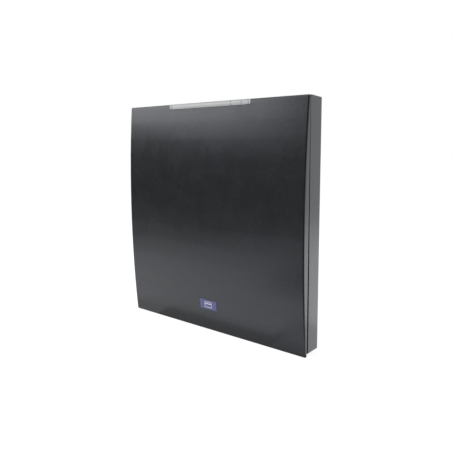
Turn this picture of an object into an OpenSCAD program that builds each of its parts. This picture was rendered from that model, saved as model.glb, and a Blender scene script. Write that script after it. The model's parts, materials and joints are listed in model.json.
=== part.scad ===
// Square wall reader for contactless cards: a housing that screws to the wall, and a cover that
// swings up on two hinge pins. The wall plane is Y = 0, the front looks along -Y, and Z is up.
// The origin is the middle of the four wall screws.

/* [Body] */
// Width of the reader
body_w = 305; // [300:1:320]
// Height of the front cover
body_h = 302; // [300:1:316]
// Depth of the rear housing, from the wall to the seam
base_depth = 23; // [23:0.5:26]
// Thickness of the cover at its top and bottom edges
cover_edge = 2.4; // [2.2:0.1:2.8]
// How far the front bulges at mid height
crown = 6.9; // [6:0.1:8]
// Thickness of the housing's walls
wall = 3; // [2.8:0.1:3.2]
// Thickness of the cover's shell
cover_wall = 2.4; // [2.2:0.1:2.6]
// How far the cover hangs below the housing
lip_drop = 4; // [3.5:0.5:5]
// Width of the shadow line along the seam at its low end
seam_gap = 2.3; // [1:0.1:2.5]
// Width of the shadow line along the seam at its high end
seam_top = 0.5; // [0.3:0.1:1]
// How far the housing's top slopes down towards the wall
top_fall = 1.6; // [0.2:0.1:1.8]
// How far the housing's bottom slopes up towards the wall
low_rise = 1.2; // [0.2:0.1:1.6]

/* [Light bar] */
// Width of the light bar
bar_w = 140; // [130:1:141]
// Height of the light bar
bar_h = 7; // [6.5:0.1:7.2]
// Number of lights behind the bar
led_count = 8; // [4:1:10]

/* [Badge] */
// Width of the badge
badge_w = 30; // [24:1:36]
// Height of the badge
badge_h = 13; // [12:0.5:16]
// Height of the badge's middle
badge_z = -115; // [-118:1:-100]

/* [Hinge] */
// Distance of each hinge knuckle from the middle
hinge_x = 110; // [100:1:120]
// Width of a hinge knuckle
knuckle_w = 16; // [12:1:18]
// Radius of a hinge pin
pin_r = 1.5; // [1.3:0.1:1.6]

/* [Lock] */
// Width of the lock pocket under the housing
pocket_w = 34; // [30:1:40]
// Radius of the lock screw
lock_r = 1.75; // [1.5:0.05:1.8]
// Travel of the lock screw
lock_travel = 7; // [6:0.1:7]

/* [Mounting] */
// Distance between wall screws, side to side
screw_span_x = 200; // [196:1:204]
// Distance between wall screws, top to bottom
screw_span_z = 180; // [176:1:184]
// Radius of a wall screw hole
screw_r = 2.75; // [2:0.05:3]
// Distance between the wall box screws
box_span = 83.3; // [80:0.1:84]
// Radius of a wall box screw hole
box_r = 2.1; // [1.8:0.1:2.4]
// Radius of the cable hole in the grommet
cable_r = 5; // [3:0.5:6]
// How far the tamper plunger stands behind the wall plane
plunger_out = 1.8; // [1:0.1:1.9]

/* [Boards] */
// Height of the posts under the boards
standoff = 8; // [8:0.5:9]
// Thickness of the circuit boards
board_t = 1.6; // [1.2:0.2:1.8]
// Width of the antenna board's ring
ring_bar = 22; // [20:1:22]
// Clamps on the power plug
power_ways = 3; // [2:1:3]
// Clamps on the data plug
data_ways = 8; // [4:1:8]

/* [Hidden] */
$fn = 64;

// Main planes of the casing
top_z = body_h / 2;
cover_low = -body_h / 2;
base_low = cover_low + lip_drop;
seam_y = -base_depth;
rim_y = seam_y + 0.1;
floor_y = -wall;
half_w = body_w / 2;

// The front is part of a large cylinder that lies along X
crown_r = (pow(top_z, 2) + pow(crown, 2)) / (2 * crown);
crown_y = seam_y - cover_edge - crown + crown_r;
crown_fn = 720;
land = 7.5;
rib_t = 1.4;
rib_h = 2.4;
rib_x = [-105, -35, 35, 105];
rib_z = [-90, -30, 30, 90];
rib_half_w = half_w - cover_wall;
rib_low = -128;
rib_high = 134;

// The hinge axis lies inside the top front corner of the housing
hinge_in = 3.6;
hinge_down = 3.2;
hinge_y = seam_y + hinge_in;
hinge_z = top_z - hinge_down;
eye_r = 3;
nose_r = hinge_in - 0.35;
lug_w = 5;
lug_gap = 0.4;
lug_front = hinge_y - 3.2;
lug_back = hinge_y + 4.5;
lug_low = hinge_z - 3.4;
window_back = hinge_y + eye_r + 0.5;
window_low = hinge_z - eye_r - 0.5;
pin_l = knuckle_w + 2 * (lug_gap + lug_w) - 0.4;

// The rim seal lies in a groove along the sides, the bottom and the lock pocket
seam_lip = 1;
seal_inset = 1.5;
seal_w = 1;
seal_depth = 1.2;
seal_top = 138;

// The lock screw waits below its insert, held by its clip in the cover's tab
pocket_top = base_low + 12;
lock_y = -14;
lock_l = 13;
lock_tip = pocket_top - 0.4;
lock_seat = lock_tip - lock_l;
lock_head_h = 1.8;
lock_head_r = 3.4;
tab_low = lock_seat + lock_travel + 0.1;
tab_t = 2.4;
tab_w = 24;
tab_back = -8;
gusset_t = 2;
gusset_h = 5;
clip_t = 0.6;
clip_z = tab_low + tab_t + 0.05;
insert_r = 3.2;
insert_low = clip_z + clip_t + lock_travel + 0.3;
insert_high = insert_low + 5;
insert_boss_r = 5;

// Cable entry and wall box holes
cable_z = 30;
neck_r = 9;
flange_r = 12.4;
flange_t = 1.5;
relief = 0.6;
relief_border = 8;
wall_pad_r = 10;
box_pad_r = 8;
cable_pad_r = 18;
tamper_pad_r = 8;
pad_r = 7;
pad_h = 2;
weep_x = 90;
weep_w = 8;
weep_y = floor_y - 4;
weep_h = 2;

// Boards stand on pillars that are pressed into the floor
board_back = floor_y - standoff;
board_front = board_back - board_t;
pillar_r = 3.4;
stub_r = 2;
stub_l = 1.6;
board_hole_r = 1.6;
thread_r = 1.4;
thread_l = 7;
head_r = 2.6;
head_h = 1.8;
key_r = 1.2;

main_half_w = 85;
main_low = -99;
main_high = -25;
main_screw_at = [[-81, -95], [-46, -95], [81, -95], [-81, -29], [15.5, -29], [81, -29]];
processor_at = [-24, -52];
logic_at = [[-46, -48], [-46, -60], [75, -60], [75, -74]];
crystal_at = [-10, -58];
capacitor_at = [[-76, -48], [-63, -48], [-76, -61]];
capacitor_r = 5;
capacitor_h = 11;
coil_at = [[-62, -66], [-62, -82]];
coil_w = 12;
sounder_at = [0, -41];
sounder_r = 9;
sounder_h = 7;

ring_half_w = half_w - 12.5;
ring_low = base_low + 23;
ring_high = top_z - 21;
ring_screw_in = 6;
ring_screw_x = 62;
ring_screw_at = [
    for (x = [ring_screw_in - ring_half_w, ring_half_w - ring_screw_in],
         z = [ring_low + ring_screw_in, (ring_low + ring_high) / 2, ring_high - ring_screw_in]) [x, z],
    for (x = [-ring_screw_x, ring_screw_x], z = [ring_low + ring_screw_in, ring_high - ring_screw_in]) [x, z]
];
track_w = 4;
track_t = 0.3;
track_in = [12.5, 18.5];
feed_x = 28;
feed_half = 9;
tuning_x = [22, 26.5, 31];
tuning_w = 3.2;
tuning_h = 2.5;
tuning_t = 1.6;

led_back = -12.4;
led_front = led_back - board_t;
led_half_w = 74;
led_low = 133;
led_high = 146;
led_z = 141.5;
led_span = 126;
led_size = [3.5, 1.2, 2.8];
led_screw_at = [[-66, 137], [66, 137]];

// The light bar has a collector leg behind the cover that takes in the light
bar_low = top_z - bar_h;
bar_gap = 0.15;
bar_shadow = 0.5;
leg_back = -17.5;
leg_low = 138.5;
leg_high = bar_low - 0.2;
neck_front = seam_y - 1.6;
neck_back = seam_y + 0.2;
leg_half_w = 69;
stake_x = 75;
stake_z = 141;
stake_r = 1.2;
bar_tab_end = 79;
bar_tab_y = seam_y + 1.6;

// The badge sits in a recess of the front and carries a raised card outline
badge_proud = 0.25;
badge_deep = 0.65;
card_w = 12.5;
card_h = 8;
card_line = 0.7;

// Plugs and headers at the main board's top edge
pitch = 5.08;
power_x = -64;
data_x = 44;
header_deep = 12;
header_high = 9;
header_wall = 1.1;
pin_y = board_front - 4.6;
contact_r = 0.5;
plug_deep = 12;
nose_l = 7.5;
nose_gap = 0.2;
mouth_front = board_front - header_high + 1;
mouth_back = board_front - 1.2;
plug_front = board_front - header_high - 0.8;
plug_back = board_front - 0.3;
clamp_z = main_high + 6;
clamp_r = 1.9;
clamp_back = board_front - 5;
slot_w = 0.7;
wire_half = 1.6;
wire_y = board_front - 3.2;

// Tamper switch behind the main board
tamper_x = 60;
tamper_z = -62;
plunger_r = 2.2;
guide_gap = 0.08;
collar_r = 3.6;
collar_y = -3.2;
collar_t = 0.8;
switch_h = 3;
switch_w = 13;
spring_wire = 0.25;
spring_r = 2.95;
spring_turns = 3.5;
spring_start = board_back + switch_h + spring_wire + 0.05;
spring_end = collar_y - collar_t - spring_wire - 0.05;
spring_sides = 6;
spring_turn_rings = 8;
spring_rings = spring_turn_rings * spring_turns;
spring_rise = spring_end - spring_start;

// Flat ribbon from the light board, along the floor, to the main board
ribbon_x = -40;
ribbon_w = 9;
ribbon_t = 0.9;
ribbon_high = 134;
ribbon_low = -27;
socket_w = 12;
ribbon_path = [
    [led_back + 1.2, ribbon_high], [led_back + 1.2, ribbon_high - 1.5], [floor_y - 1.2, 126],
    [floor_y - 1.2, -12], [board_front - 3, -19], [board_front - 3, ribbon_low]
];

// Coaxial jumper between the main board and the antenna board
coax_x = 37;
coax_r = 1.3;
coax_bend = 4;
coax_high = -95;
coax_low = ring_low + ring_screw_in;
coax_socket_r = 2.6;
coax_socket_h = 3;
coax_y = board_front - coax_socket_h;

charcoal = "#303236";
soot = "#232427";
rubber = "#18191b";
steel = "#b9bcc0";
brass = "#c2a24e";
copper = "#b8703a";
board_green = "#1f5b3c";
socket_green = "#3f8f4a";
chip_black = "#26272a";
frost = "#dfe4e6";
badge_blue = "#4b4f8c";
ivory = "#efeee6";
sleeve = "#3a3f55";
ferrite = "#4b4b4f";
ochre = "#b59a6a";
ribbon_grey = "#8e9296";
board_white = "#dfe3e0";
amber = "#f3e9b0";

// Plane figure drawn in X and Z, given depth from its back to its front
module slab(back, front)
    translate([0, back, 0]) rotate([90, 0, 0]) linear_extrude(back - front) children();

// Plane figure drawn in Y and Z, given width along X
module beam(left, right)
    translate([left, 0, 0]) rotate([90, 0, 90]) linear_extrude(right - left) children();

module block(low, high)
    translate(low) cube(high - low);

module rod_x(r, left, right, y, z)
    translate([left, y, z]) rotate([0, 90, 0]) cylinder(r = r, h = right - left);

module rod_y(r, front, back, x, z)
    translate([x, front, z]) rotate([-90, 0, 0]) cylinder(r = r, h = back - front);

module rod_z(r, low, high, x, y)
    translate([x, y, low]) cylinder(r = r, h = high - low);

// Plane rectangle with round corners, about its middle
module rounded(w, h, r) {
    square([w - 2 * r, h], center = true);
    square([w, h - 2 * r], center = true);
    for (x = [r - w / 2, w / 2 - r], z = [r - h / 2, h / 2 - r])
        translate([x, z]) circle(r);
}

// Outline of a strip of even width along a path
function unit(v) = v / norm(v);
function side(v) = [-v[1], v[0]];
function mitre(p, i) =
    let (a = side(unit(i > 0 ? p[i] - p[i - 1] : p[1] - p[0])),
         b = i < len(p) - 1 ? side(unit(p[i + 1] - p[i])) : a,
         m = unit(a + b))
    m / (m * a);
function strip(p, t) = concat(
    [for (i = [0:len(p) - 1]) p[i] + mitre(p, i) * t / 2],
    [for (i = [len(p) - 1:-1:0]) p[i] - mitre(p, i) * t / 2]
);

// Outline of the housing with the lock pocket let into its bottom edge
function housing_outline(inset) = [
    [inset - half_w, base_low + inset],
    [-pocket_w / 2 - inset, base_low + inset],
    [-pocket_w / 2 - inset, pocket_top + inset],
    [pocket_w / 2 + inset, pocket_top + inset],
    [pocket_w / 2 + inset, base_low + inset],
    [half_w - inset, base_low + inset],
    [half_w - inset, top_z - inset],
    [inset - half_w, top_z - inset]
];

// Band between two insets of the housing's outline
module rim_band(outer, inner)
    difference() {
        polygon(housing_outline(outer));
        polygon(housing_outline(inner));
    }

function wall_holes() = [for (x = [-1, 1], z = [-1, 1]) [x * screw_span_x / 2, z * screw_span_z / 2]];
function box_holes() = [for (z = [-1, 1]) [0, cable_z + z * box_span / 2]];

// Screw with a round head and a hex socket, its head seated on the plane y
module board_screw(at, y)
    difference() {
        union() {
            rod_y(head_r, y - head_h, y, at[0], at[1]);
            rod_y(thread_r, y - 0.1, y + thread_l, at[0], at[1]);
        }
        translate([at[0], y - head_h - 0.1, at[1]])
            rotate([-90, 0, 0]) cylinder(r = key_r, h = key_r, $fn = 6);
    }

// Round pillars with a thread hole in front and a stub that presses into the floor
module pillars(places, front)
    for (at = places)
        difference() {
            union() {
                rod_y(pillar_r, front, floor_y, at[0], at[1]);
                rod_y(stub_r, floor_y - 0.1, floor_y + stub_l, at[0], at[1]);
            }
            rod_y(thread_r + 0.05, front - 0.1, front + thread_l + 0.6, at[0], at[1]);
        }

module hinge_lugs()
    for (knuckle = [-hinge_x, hinge_x], end = [-1, 1])
        let (x = knuckle + end * (knuckle_w / 2 + lug_gap + lug_w / 2))
            block([x - lug_w / 2, lug_front, lug_low], [x + lug_w / 2, lug_back, top_z - 0.5]);

// Room for the cover's top strip, which rolls over the round nose of the housing
module hinge_clearance() {
    difference() {
        block([-half_w - 1, seam_y - 1, hinge_z], [half_w + 1, hinge_y, top_z + 1]);
        rod_x(nose_r, -half_w - 2, half_w + 2, hinge_y, hinge_z);
    }
    for (x = [-hinge_x, hinge_x])
        block([x - knuckle_w / 2 - lug_gap, seam_y - 1, window_low],
              [x + knuckle_w / 2 + lug_gap, window_back, top_z + 1]);
}

// Shallow relief that leaves a border and round pads against the wall
module back_relief()
    difference() {
        slab(1, -relief)
            translate([relief_border - half_w, base_low + relief_border])
                square([body_w - 2 * relief_border, top_z - base_low - 2 * relief_border]);
        for (at = wall_holes()) rod_y(wall_pad_r, -1, 2, at[0], at[1]);
        for (at = box_holes()) rod_y(box_pad_r, -1, 2, at[0], at[1]);
        rod_y(cable_pad_r, -1, 2, 0, cable_z);
        rod_y(tamper_pad_r, -1, 2, tamper_x, tamper_z);
    }

// Shadow line behind the cover, along the sides and the bottom, narrower towards the top
module seam_line()
    intersection() {
        slab(seam_y + seam_gap, seam_y - 1)
            difference() {
                rim_band(-1, seam_lip);
                translate([seam_lip - half_w, hinge_z]) square([body_w - 2 * seam_lip, top_z]);
            }
        beam(-half_w - 2, half_w + 2)
            polygon([
                [seam_y - 2, base_low - 2], [seam_y + seam_gap + 1, base_low - 2],
                [seam_y + seam_gap, base_low + 2], [seam_y + seam_top, top_z + 2],
                [seam_y - 2, top_z + 2]
            ]);
    }

// What the slopes of the top and the bottom take off
module slope_cuts()
    beam(-half_w - 1, half_w + 1) {
        polygon([
            [hinge_y, top_z], [0, top_z - top_fall], [1, top_z - top_fall],
            [1, top_z + 1], [hinge_y, top_z + 1]
        ]);
        polygon([
            [seam_y + seam_gap, base_low], [0, base_low + low_rise], [1, base_low + low_rise],
            [1, base_low - 1], [seam_y + seam_gap, base_low - 1]
        ]);
    }

module rear_housing()
    color(charcoal) difference() {
        union() {
            slab(0, rim_y) rim_band(0, wall);
            slab(0, floor_y) translate([-half_w, base_low]) square([body_w, top_z - base_low]);
            hinge_lugs();
            rod_z(insert_boss_r, pocket_top + 1, insert_high + 0.6, 0, lock_y);
            for (at = wall_holes()) rod_y(pad_r, floor_y - pad_h, floor_y + 0.1, at[0], at[1]);
            for (at = box_holes()) rod_y(pad_r - 1, floor_y - pad_h, floor_y + 0.1, at[0], at[1]);
        }
        seam_line();
        slope_cuts();
        difference() {
            slab(rim_y + seal_depth, seam_y - 1) rim_band(seal_inset, seal_inset + seal_w);
            block([-half_w, seam_y - 2, seal_top], [half_w, 0, top_z]);
        }
        hinge_clearance();
        for (x = [-hinge_x, hinge_x])
            rod_x(pin_r + 0.02, x - pin_l, x + pin_l, hinge_y, hinge_z);
        for (at = concat(main_screw_at, ring_screw_at, led_screw_at))
            rod_y(stub_r + 0.02, floor_y - 1, floor_y + stub_l + 0.05, at[0], at[1]);
        rod_z(insert_r, pocket_top - 1, insert_high, 0, lock_y);
        for (at = wall_holes()) rod_y(screw_r, floor_y - pad_h - 1, 1, at[0], at[1]);
        for (at = box_holes()) rod_y(box_r, floor_y - pad_h - 1, 1, at[0], at[1]);
        rod_y(neck_r, floor_y - 1, 1, 0, cable_z);
        rod_y(flange_r + 0.2, -flange_t, 1, 0, cable_z);
        rod_y(plunger_r + guide_gap, floor_y - 1, 1, tamper_x, tamper_z);
        for (x = [-weep_x, weep_x])
            block([x - weep_w / 2, weep_y - weep_h / 2, base_low - 1],
                  [x + weep_w / 2, weep_y + weep_h / 2, base_low + wall + 1]);
        back_relief();
    }

module rim_seal()
    color(rubber) difference() {
        slab(rim_y + seal_depth, seam_y + 0.02) rim_band(seal_inset, seal_inset + seal_w);
        block([-half_w, seam_y - 1, seal_top], [half_w, 0, top_z]);
    }

module cable_grommet()
    color(rubber) difference() {
        union() {
            rod_y(flange_r, -flange_t, -0.1, 0, cable_z);
            rod_y(neck_r, floor_y - 0.1, -flange_t + 0.1, 0, cable_z);
            rod_y(flange_r - 1, floor_y - flange_t, floor_y, 0, cable_z);
        }
        rod_y(cable_r, floor_y - flange_t - 1, 1, 0, cable_z);
    }

module hinge_pins()
    color(steel)
        for (x = [-hinge_x, hinge_x])
            rod_x(pin_r, x - pin_l / 2, x + pin_l / 2, hinge_y, hinge_z);

module lock_insert()
    color(brass) difference() {
        rod_z(insert_r - 0.02, insert_low, insert_high, 0, lock_y);
        rod_z(lock_r + 0.15, insert_low - 1, insert_high + 1, 0, lock_y);
    }

module standoffs()
    color(brass) {
        pillars(main_screw_at, board_back);
        pillars(ring_screw_at, board_back);
        pillars(led_screw_at, led_back);
    }

module main_board()
    color(board_green) difference() {
        slab(board_back, board_front)
            translate([0, (main_low + main_high) / 2])
                rounded(2 * main_half_w, main_high - main_low, 3);
        for (at = main_screw_at)
            rod_y(board_hole_r, board_front - 1, board_back + 1, at[0], at[1]);
    }

module main_board_screws()
    color(steel) for (at = main_screw_at) board_screw(at, board_front);

// Thin pressed can, open to the board, with a grid of vent holes
module shield_can() {
    low = [8, board_front - 6, -90];
    high = [66, board_front, -48];
    sheet = 0.5;
    vents_x = 5;
    vents_z = 3;
    step_x = (high[0] - low[0]) / (vents_x + 1);
    step_z = (high[2] - low[2]) / (vents_z + 1);
    color(steel) difference() {
        block(low, high);
        block([low[0] + sheet, low[1] + sheet, low[2] + sheet],
              [high[0] - sheet, high[1] + 1, high[2] - sheet]);
        for (i = [1:vents_x], k = [1:vents_z])
            rod_y(1.5, low[1] - 1, low[1] + 1, low[0] + i * step_x, low[2] + k * step_z);
    }
}

module heat_sink() {
    left = -38;
    right = -2;
    low = -94;
    high = -64;
    plate_t = 2.5;
    fin_h = 7.5;
    fin_t = 1.4;
    fins = 8;
    root = board_front - plate_t;
    step = (right - left - fin_t) / (fins - 1);
    color(steel) {
        block([left, root, low], [right, board_front, high]);
        for (i = [0:fins - 1])
            block([left + i * step, root - fin_h, low], [left + i * step + fin_t, root + 0.1, high]);
    }
}

// Flat package on the main board with a pin-one dimple
module chip(at, w, h, t) {
    top = board_front - t;
    difference() {
        block([at[0] - w / 2, top, at[1] - h / 2], [at[0] + w / 2, board_front, at[1] + h / 2]);
        rod_y(0.5, top - 1, top + 0.2, at[0] - w / 2 + 1.2, at[1] + h / 2 - 1.2);
    }
}

module processor()
    color(chip_black) chip(processor_at, 14, 14, 1.4);

module logic_chips()
    color(chip_black) for (at = logic_at) chip(at, 10, 6, 1.6);

module crystal()
    color(steel) slab(board_front, board_front - 3.5) translate(crystal_at) rounded(11, 4.6, 2.25);

// Upright cans with a shallow dish in their tops
module filter_capacitors() {
    top = board_front - capacitor_h;
    color(sleeve)
        for (at = capacitor_at)
            difference() {
                rod_y(capacitor_r, top, board_front, at[0], at[1]);
                rod_y(capacitor_r - 1.4, top - 1, top + 0.3, at[0], at[1]);
            }
}

// Square moulded coils with a round core on top
module power_coils() {
    shoulder = board_front - coil_w / 3;
    color(ferrite)
        for (at = coil_at) {
            slab(board_front, shoulder) translate(at) rounded(coil_w, coil_w, 2);
            rod_y(0.35 * coil_w, shoulder - coil_w / 6, shoulder + 0.1, at[0], at[1]);
        }
}

// Round sounder with a vent and a ring groove in its top
module sounder() {
    top = board_front - sounder_h;
    color(chip_black) difference() {
        rod_y(sounder_r, top, board_front, sounder_at[0], sounder_at[1]);
        rod_y(1.5, top - 1, top + 2, sounder_at[0], sounder_at[1]);
        difference() {
            rod_y(sounder_r - 1, top - 1, top + 0.4, sounder_at[0], sounder_at[1]);
            rod_y(sounder_r - 5, top - 2, top + 1, sounder_at[0], sounder_at[1]);
        }
    }
}

function ways_w(ways) = ways * pitch + 2 * header_wall + 0.4;
function way_x(x, ways, i) = x + (i - (ways - 1) / 2) * pitch;

// Shrouded header, open upwards, at the main board's top edge
module header(x, ways) {
    half = ways_w(ways) / 2;
    low = main_high - header_deep;
    difference() {
        block([x - half, board_front - header_high, low], [x + half, board_front, main_high]);
        block([x - half + header_wall, mouth_front, main_high - nose_l - 0.5],
              [x + half - header_wall, mouth_back, main_high + 1]);
        for (i = [0:ways - 1])
            rod_z(contact_r + 0.02, low + 1, main_high, way_x(x, ways, i), pin_y);
    }
}

// Contact pins of one header
module contacts(x, ways)
    for (i = [0:ways - 1])
        rod_z(contact_r, main_high - header_deep + 1.2, main_high - 2, way_x(x, ways, i), pin_y);

module power_header()
    color(socket_green) header(power_x, power_ways);

module data_header()
    color(socket_green) header(data_x, data_ways);

module header_pins()
    color(brass) {
        contacts(power_x, power_ways);
        contacts(data_x, data_ways);
    }

// Plug with a nose in the header, wire holes on top and clamp screws in front
module plug(x, ways) {
    half = ways_w(ways) / 2;
    difference() {
        union() {
            block([x - half + header_wall + nose_gap, mouth_front + nose_gap, main_high - nose_l],
                  [x + half - header_wall - nose_gap, mouth_back - nose_gap, main_high + 1]);
            block([x - half, plug_front, main_high + nose_gap],
                  [x + half, plug_back, main_high + plug_deep]);
        }
        for (i = [0:ways - 1]) let (at = way_x(x, ways, i)) {
            rod_z(contact_r + 0.3, main_high - nose_l - 1, main_high, at, pin_y);
            block([at - wire_half, wire_y - wire_half, main_high + 4],
                  [at + wire_half, wire_y + wire_half, main_high + plug_deep + 1]);
            rod_y(clamp_r + 0.2, plug_front - 1, clamp_back, at, clamp_z);
        }
    }
}

// Slotted clamp screws of one plug
module clamp_screws(x, ways)
    for (i = [0:ways - 1]) let (at = way_x(x, ways, i))
        difference() {
            rod_y(clamp_r, plug_front + 0.5, clamp_back - 0.2, at, clamp_z);
            block([at - clamp_r - 1, plug_front, clamp_z - slot_w / 2],
                  [at + clamp_r + 1, plug_front + 1.3, clamp_z + slot_w / 2]);
        }

module power_plug()
    color(socket_green) plug(power_x, power_ways);

module power_clamp_screws()
    color(steel) clamp_screws(power_x, power_ways);

module data_plug()
    color(socket_green) plug(data_x, data_ways);

module data_clamp_screws()
    color(steel) clamp_screws(data_x, data_ways);

module tamper_switch()
    color(chip_black) difference() {
        block([tamper_x - switch_w / 2, board_back, tamper_z - switch_w / 2],
              [tamper_x + switch_w / 2, board_back + switch_h, tamper_z + switch_w / 2]);
        rod_y(plunger_r + guide_gap, board_back - 1, board_back + switch_h + 1, tamper_x, tamper_z);
    }

module tamper_plunger()
    color(ivory) {
        rod_y(plunger_r, board_back + plunger_out + 0.2, plunger_out, tamper_x, tamper_z);
        rod_y(collar_r, collar_y - collar_t, collar_y, tamper_x, tamper_z);
    }

// Coil between the switch body and the plunger's collar, as one tube
function spring_turn(i) = 360 * i / spring_turn_rings;
function spring_at(i) = [
    tamper_x + spring_r * cos(spring_turn(i)),
    spring_start + spring_rise * i / spring_rings,
    tamper_z + spring_r * sin(spring_turn(i))
];
function spring_ring(i) =
    let (a = spring_turn(i))
    [for (k = [0:spring_sides - 1]) let (b = 360 * k / spring_sides)
        spring_at(i) + spring_wire * [cos(b) * cos(a), sin(b), cos(b) * sin(a)]];
function spring_gap() = norm(spring_at(spring_turn_rings) - spring_at(0)) - 2 * spring_wire;

module tamper_spring() {
    n = spring_sides;
    points = [for (i = [0:spring_rings]) each spring_ring(i)];
    tube = [
        for (i = [0:spring_rings - 1], k = [0:n - 1]) let (a = i * n + k, b = i * n + (k + 1) % n)
            each [[a, b, b + n], [a, b + n, a + n]]
    ];
    first = [for (k = [1:n - 2]) [0, k + 1, k]];
    end = spring_rings * n;
    last = [for (k = [1:n - 2]) [end, end + k, end + k + 1]];
    echo(str("tamper spring least gap ", spring_gap(), " mm"));
    color(steel) polyhedron(points, concat(tube, first, last));
}

module antenna_board()
    color(board_green) difference() {
        slab(board_back, board_front)
            translate([0, (ring_low + ring_high) / 2]) difference() {
                rounded(2 * ring_half_w, ring_high - ring_low, 4);
                rounded(2 * (ring_half_w - ring_bar), ring_high - ring_low - 2 * ring_bar, 4);
            }
        for (at = ring_screw_at)
            rod_y(board_hole_r, board_front - 1, board_back + 1, at[0], at[1]);
    }

// One turn of the loop, from one side of the feed gap round to the other
function loop_turn(in) = [
    [feed_x + feed_half, ring_low + in], [ring_half_w - in, ring_low + in],
    [ring_half_w - in, ring_high - in], [in - ring_half_w, ring_high - in],
    [in - ring_half_w, ring_low + in], [feed_x - feed_half, ring_low + in]
];

module antenna_loop()
    color(copper)
        slab(board_front, board_front - track_t)
            polygon(strip(concat(loop_turn(track_in[0]), loop_turn(track_in[1])), track_w));

module antenna_screws()
    color(steel) for (at = ring_screw_at) board_screw(at, board_front);

module tuning_capacitors()
    color(ochre)
        for (x = tuning_x)
            block([x - tuning_w / 2, board_front - tuning_t, coax_low - tuning_h / 2],
                  [x + tuning_w / 2, board_front, coax_low + tuning_h / 2]);

// Quarter bend of the jumper about a point, from one compass turn to the next
module coax_turn(z, turn)
    translate([coax_x, coax_y, z]) rotate([0, -90, 180]) rotate([0, 0, turn])
        rotate_extrude(angle = 90) translate([coax_bend, 0]) circle(coax_r);

module coax_jumper()
    color(soot) {
        coax_turn(coax_high - coax_bend, 0);
        rod_z(coax_r, coax_low + coax_bend, coax_high - coax_bend, coax_x, coax_y - coax_bend);
        coax_turn(coax_low + coax_bend, 90);
    }

module coax_sockets()
    color(brass)
        for (z = [coax_high, coax_low])
            rod_y(coax_socket_r, board_front - coax_socket_h, board_front, coax_x, z);

module led_board()
    color(board_white) difference() {
        slab(led_back, led_front)
            translate([0, (led_low + led_high) / 2]) rounded(2 * led_half_w, led_high - led_low, 2);
        for (at = led_screw_at) rod_y(board_hole_r, led_front - 1, led_back + 1, at[0], at[1]);
    }

module led_board_screws()
    color(steel) for (at = led_screw_at) board_screw(at, led_front);

module leds()
    color(amber)
        for (i = [0:led_count - 1])
            let (x = led_span * (i / (led_count - 1) - 0.5))
                block([x - led_size[0] / 2, led_front - led_size[1], led_z - led_size[2] / 2],
                      [x + led_size[0] / 2, led_front, led_z + led_size[2] / 2]);

module ribbon_lead()
    color(ribbon_grey)
        beam(ribbon_x - ribbon_w / 2, ribbon_x + ribbon_w / 2) polygon(strip(ribbon_path, ribbon_t));

module ribbon_sockets()
    color(ivory) {
        block([ribbon_x - socket_w / 2, led_back, ribbon_high],
              [ribbon_x + socket_w / 2, led_back + 2.4, ribbon_high + 5]);
        block([ribbon_x - socket_w / 2, board_front - 6, ribbon_low - 7],
              [ribbon_x + socket_w / 2, board_front, ribbon_low]);
    }

// Space between the crown's cylinder, made smaller by an inset, and a plane behind it
module crown_section(inset, low, high, back = seam_y)
    intersection() {
        translate([crown_y, 0]) circle(crown_r - inset, $fn = crown_fn);
        translate([seam_y - 20, low]) square([back - seam_y + 20, high - low]);
    }

// Grid of ribs that stiffens the cover's shell from behind
module cover_ribs()
    color(charcoal) intersection() {
        difference() {
            beam(-rib_half_w, rib_half_w) crown_section(cover_wall + 0.05, rib_low, rib_high);
            beam(-half_w, half_w) crown_section(cover_wall + rib_h, rib_low - 1, rib_high + 1, seam_y + 1);
        }
        union() {
            for (x = rib_x)
                block([x - rib_t / 2, seam_y - 20, rib_low], [x + rib_t / 2, seam_y, rib_high]);
            for (z = rib_z)
                block([-rib_half_w, seam_y - 20, z - rib_t / 2], [rib_half_w, seam_y, z + rib_t / 2]);
        }
    }

// Knuckle that reaches from the cover back to the hinge pin
module knuckle(x) {
    rod_x(eye_r, x - knuckle_w / 2, x + knuckle_w / 2, hinge_y, hinge_z);
    block([x - knuckle_w / 2, seam_y - 0.5, hinge_z - eye_r],
          [x + knuckle_w / 2, hinge_y, hinge_z + eye_r]);
}

// Tab that carries the lock screw, with a gusset at each side
module lock_tab() {
    root = seam_y - 0.5;
    top = tab_low + 0.1;
    block([-tab_w / 2, root, tab_low], [tab_w / 2, tab_back, tab_low + tab_t]);
    for (x = [-tab_w / 2, tab_w / 2 - gusset_t])
        beam(x, x + gusset_t) polygon([[root, top], [root, tab_low - gusset_h], [seam_y + 6, top]]);
}

// Turns its child to lie on the front at the badge's height, with -Y outwards
module on_badge() {
    tilt = asin(-badge_z / crown_r);
    translate([0, crown_y - crown_r * cos(tilt), badge_z]) rotate([tilt, 0, 0]) children();
}

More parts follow.
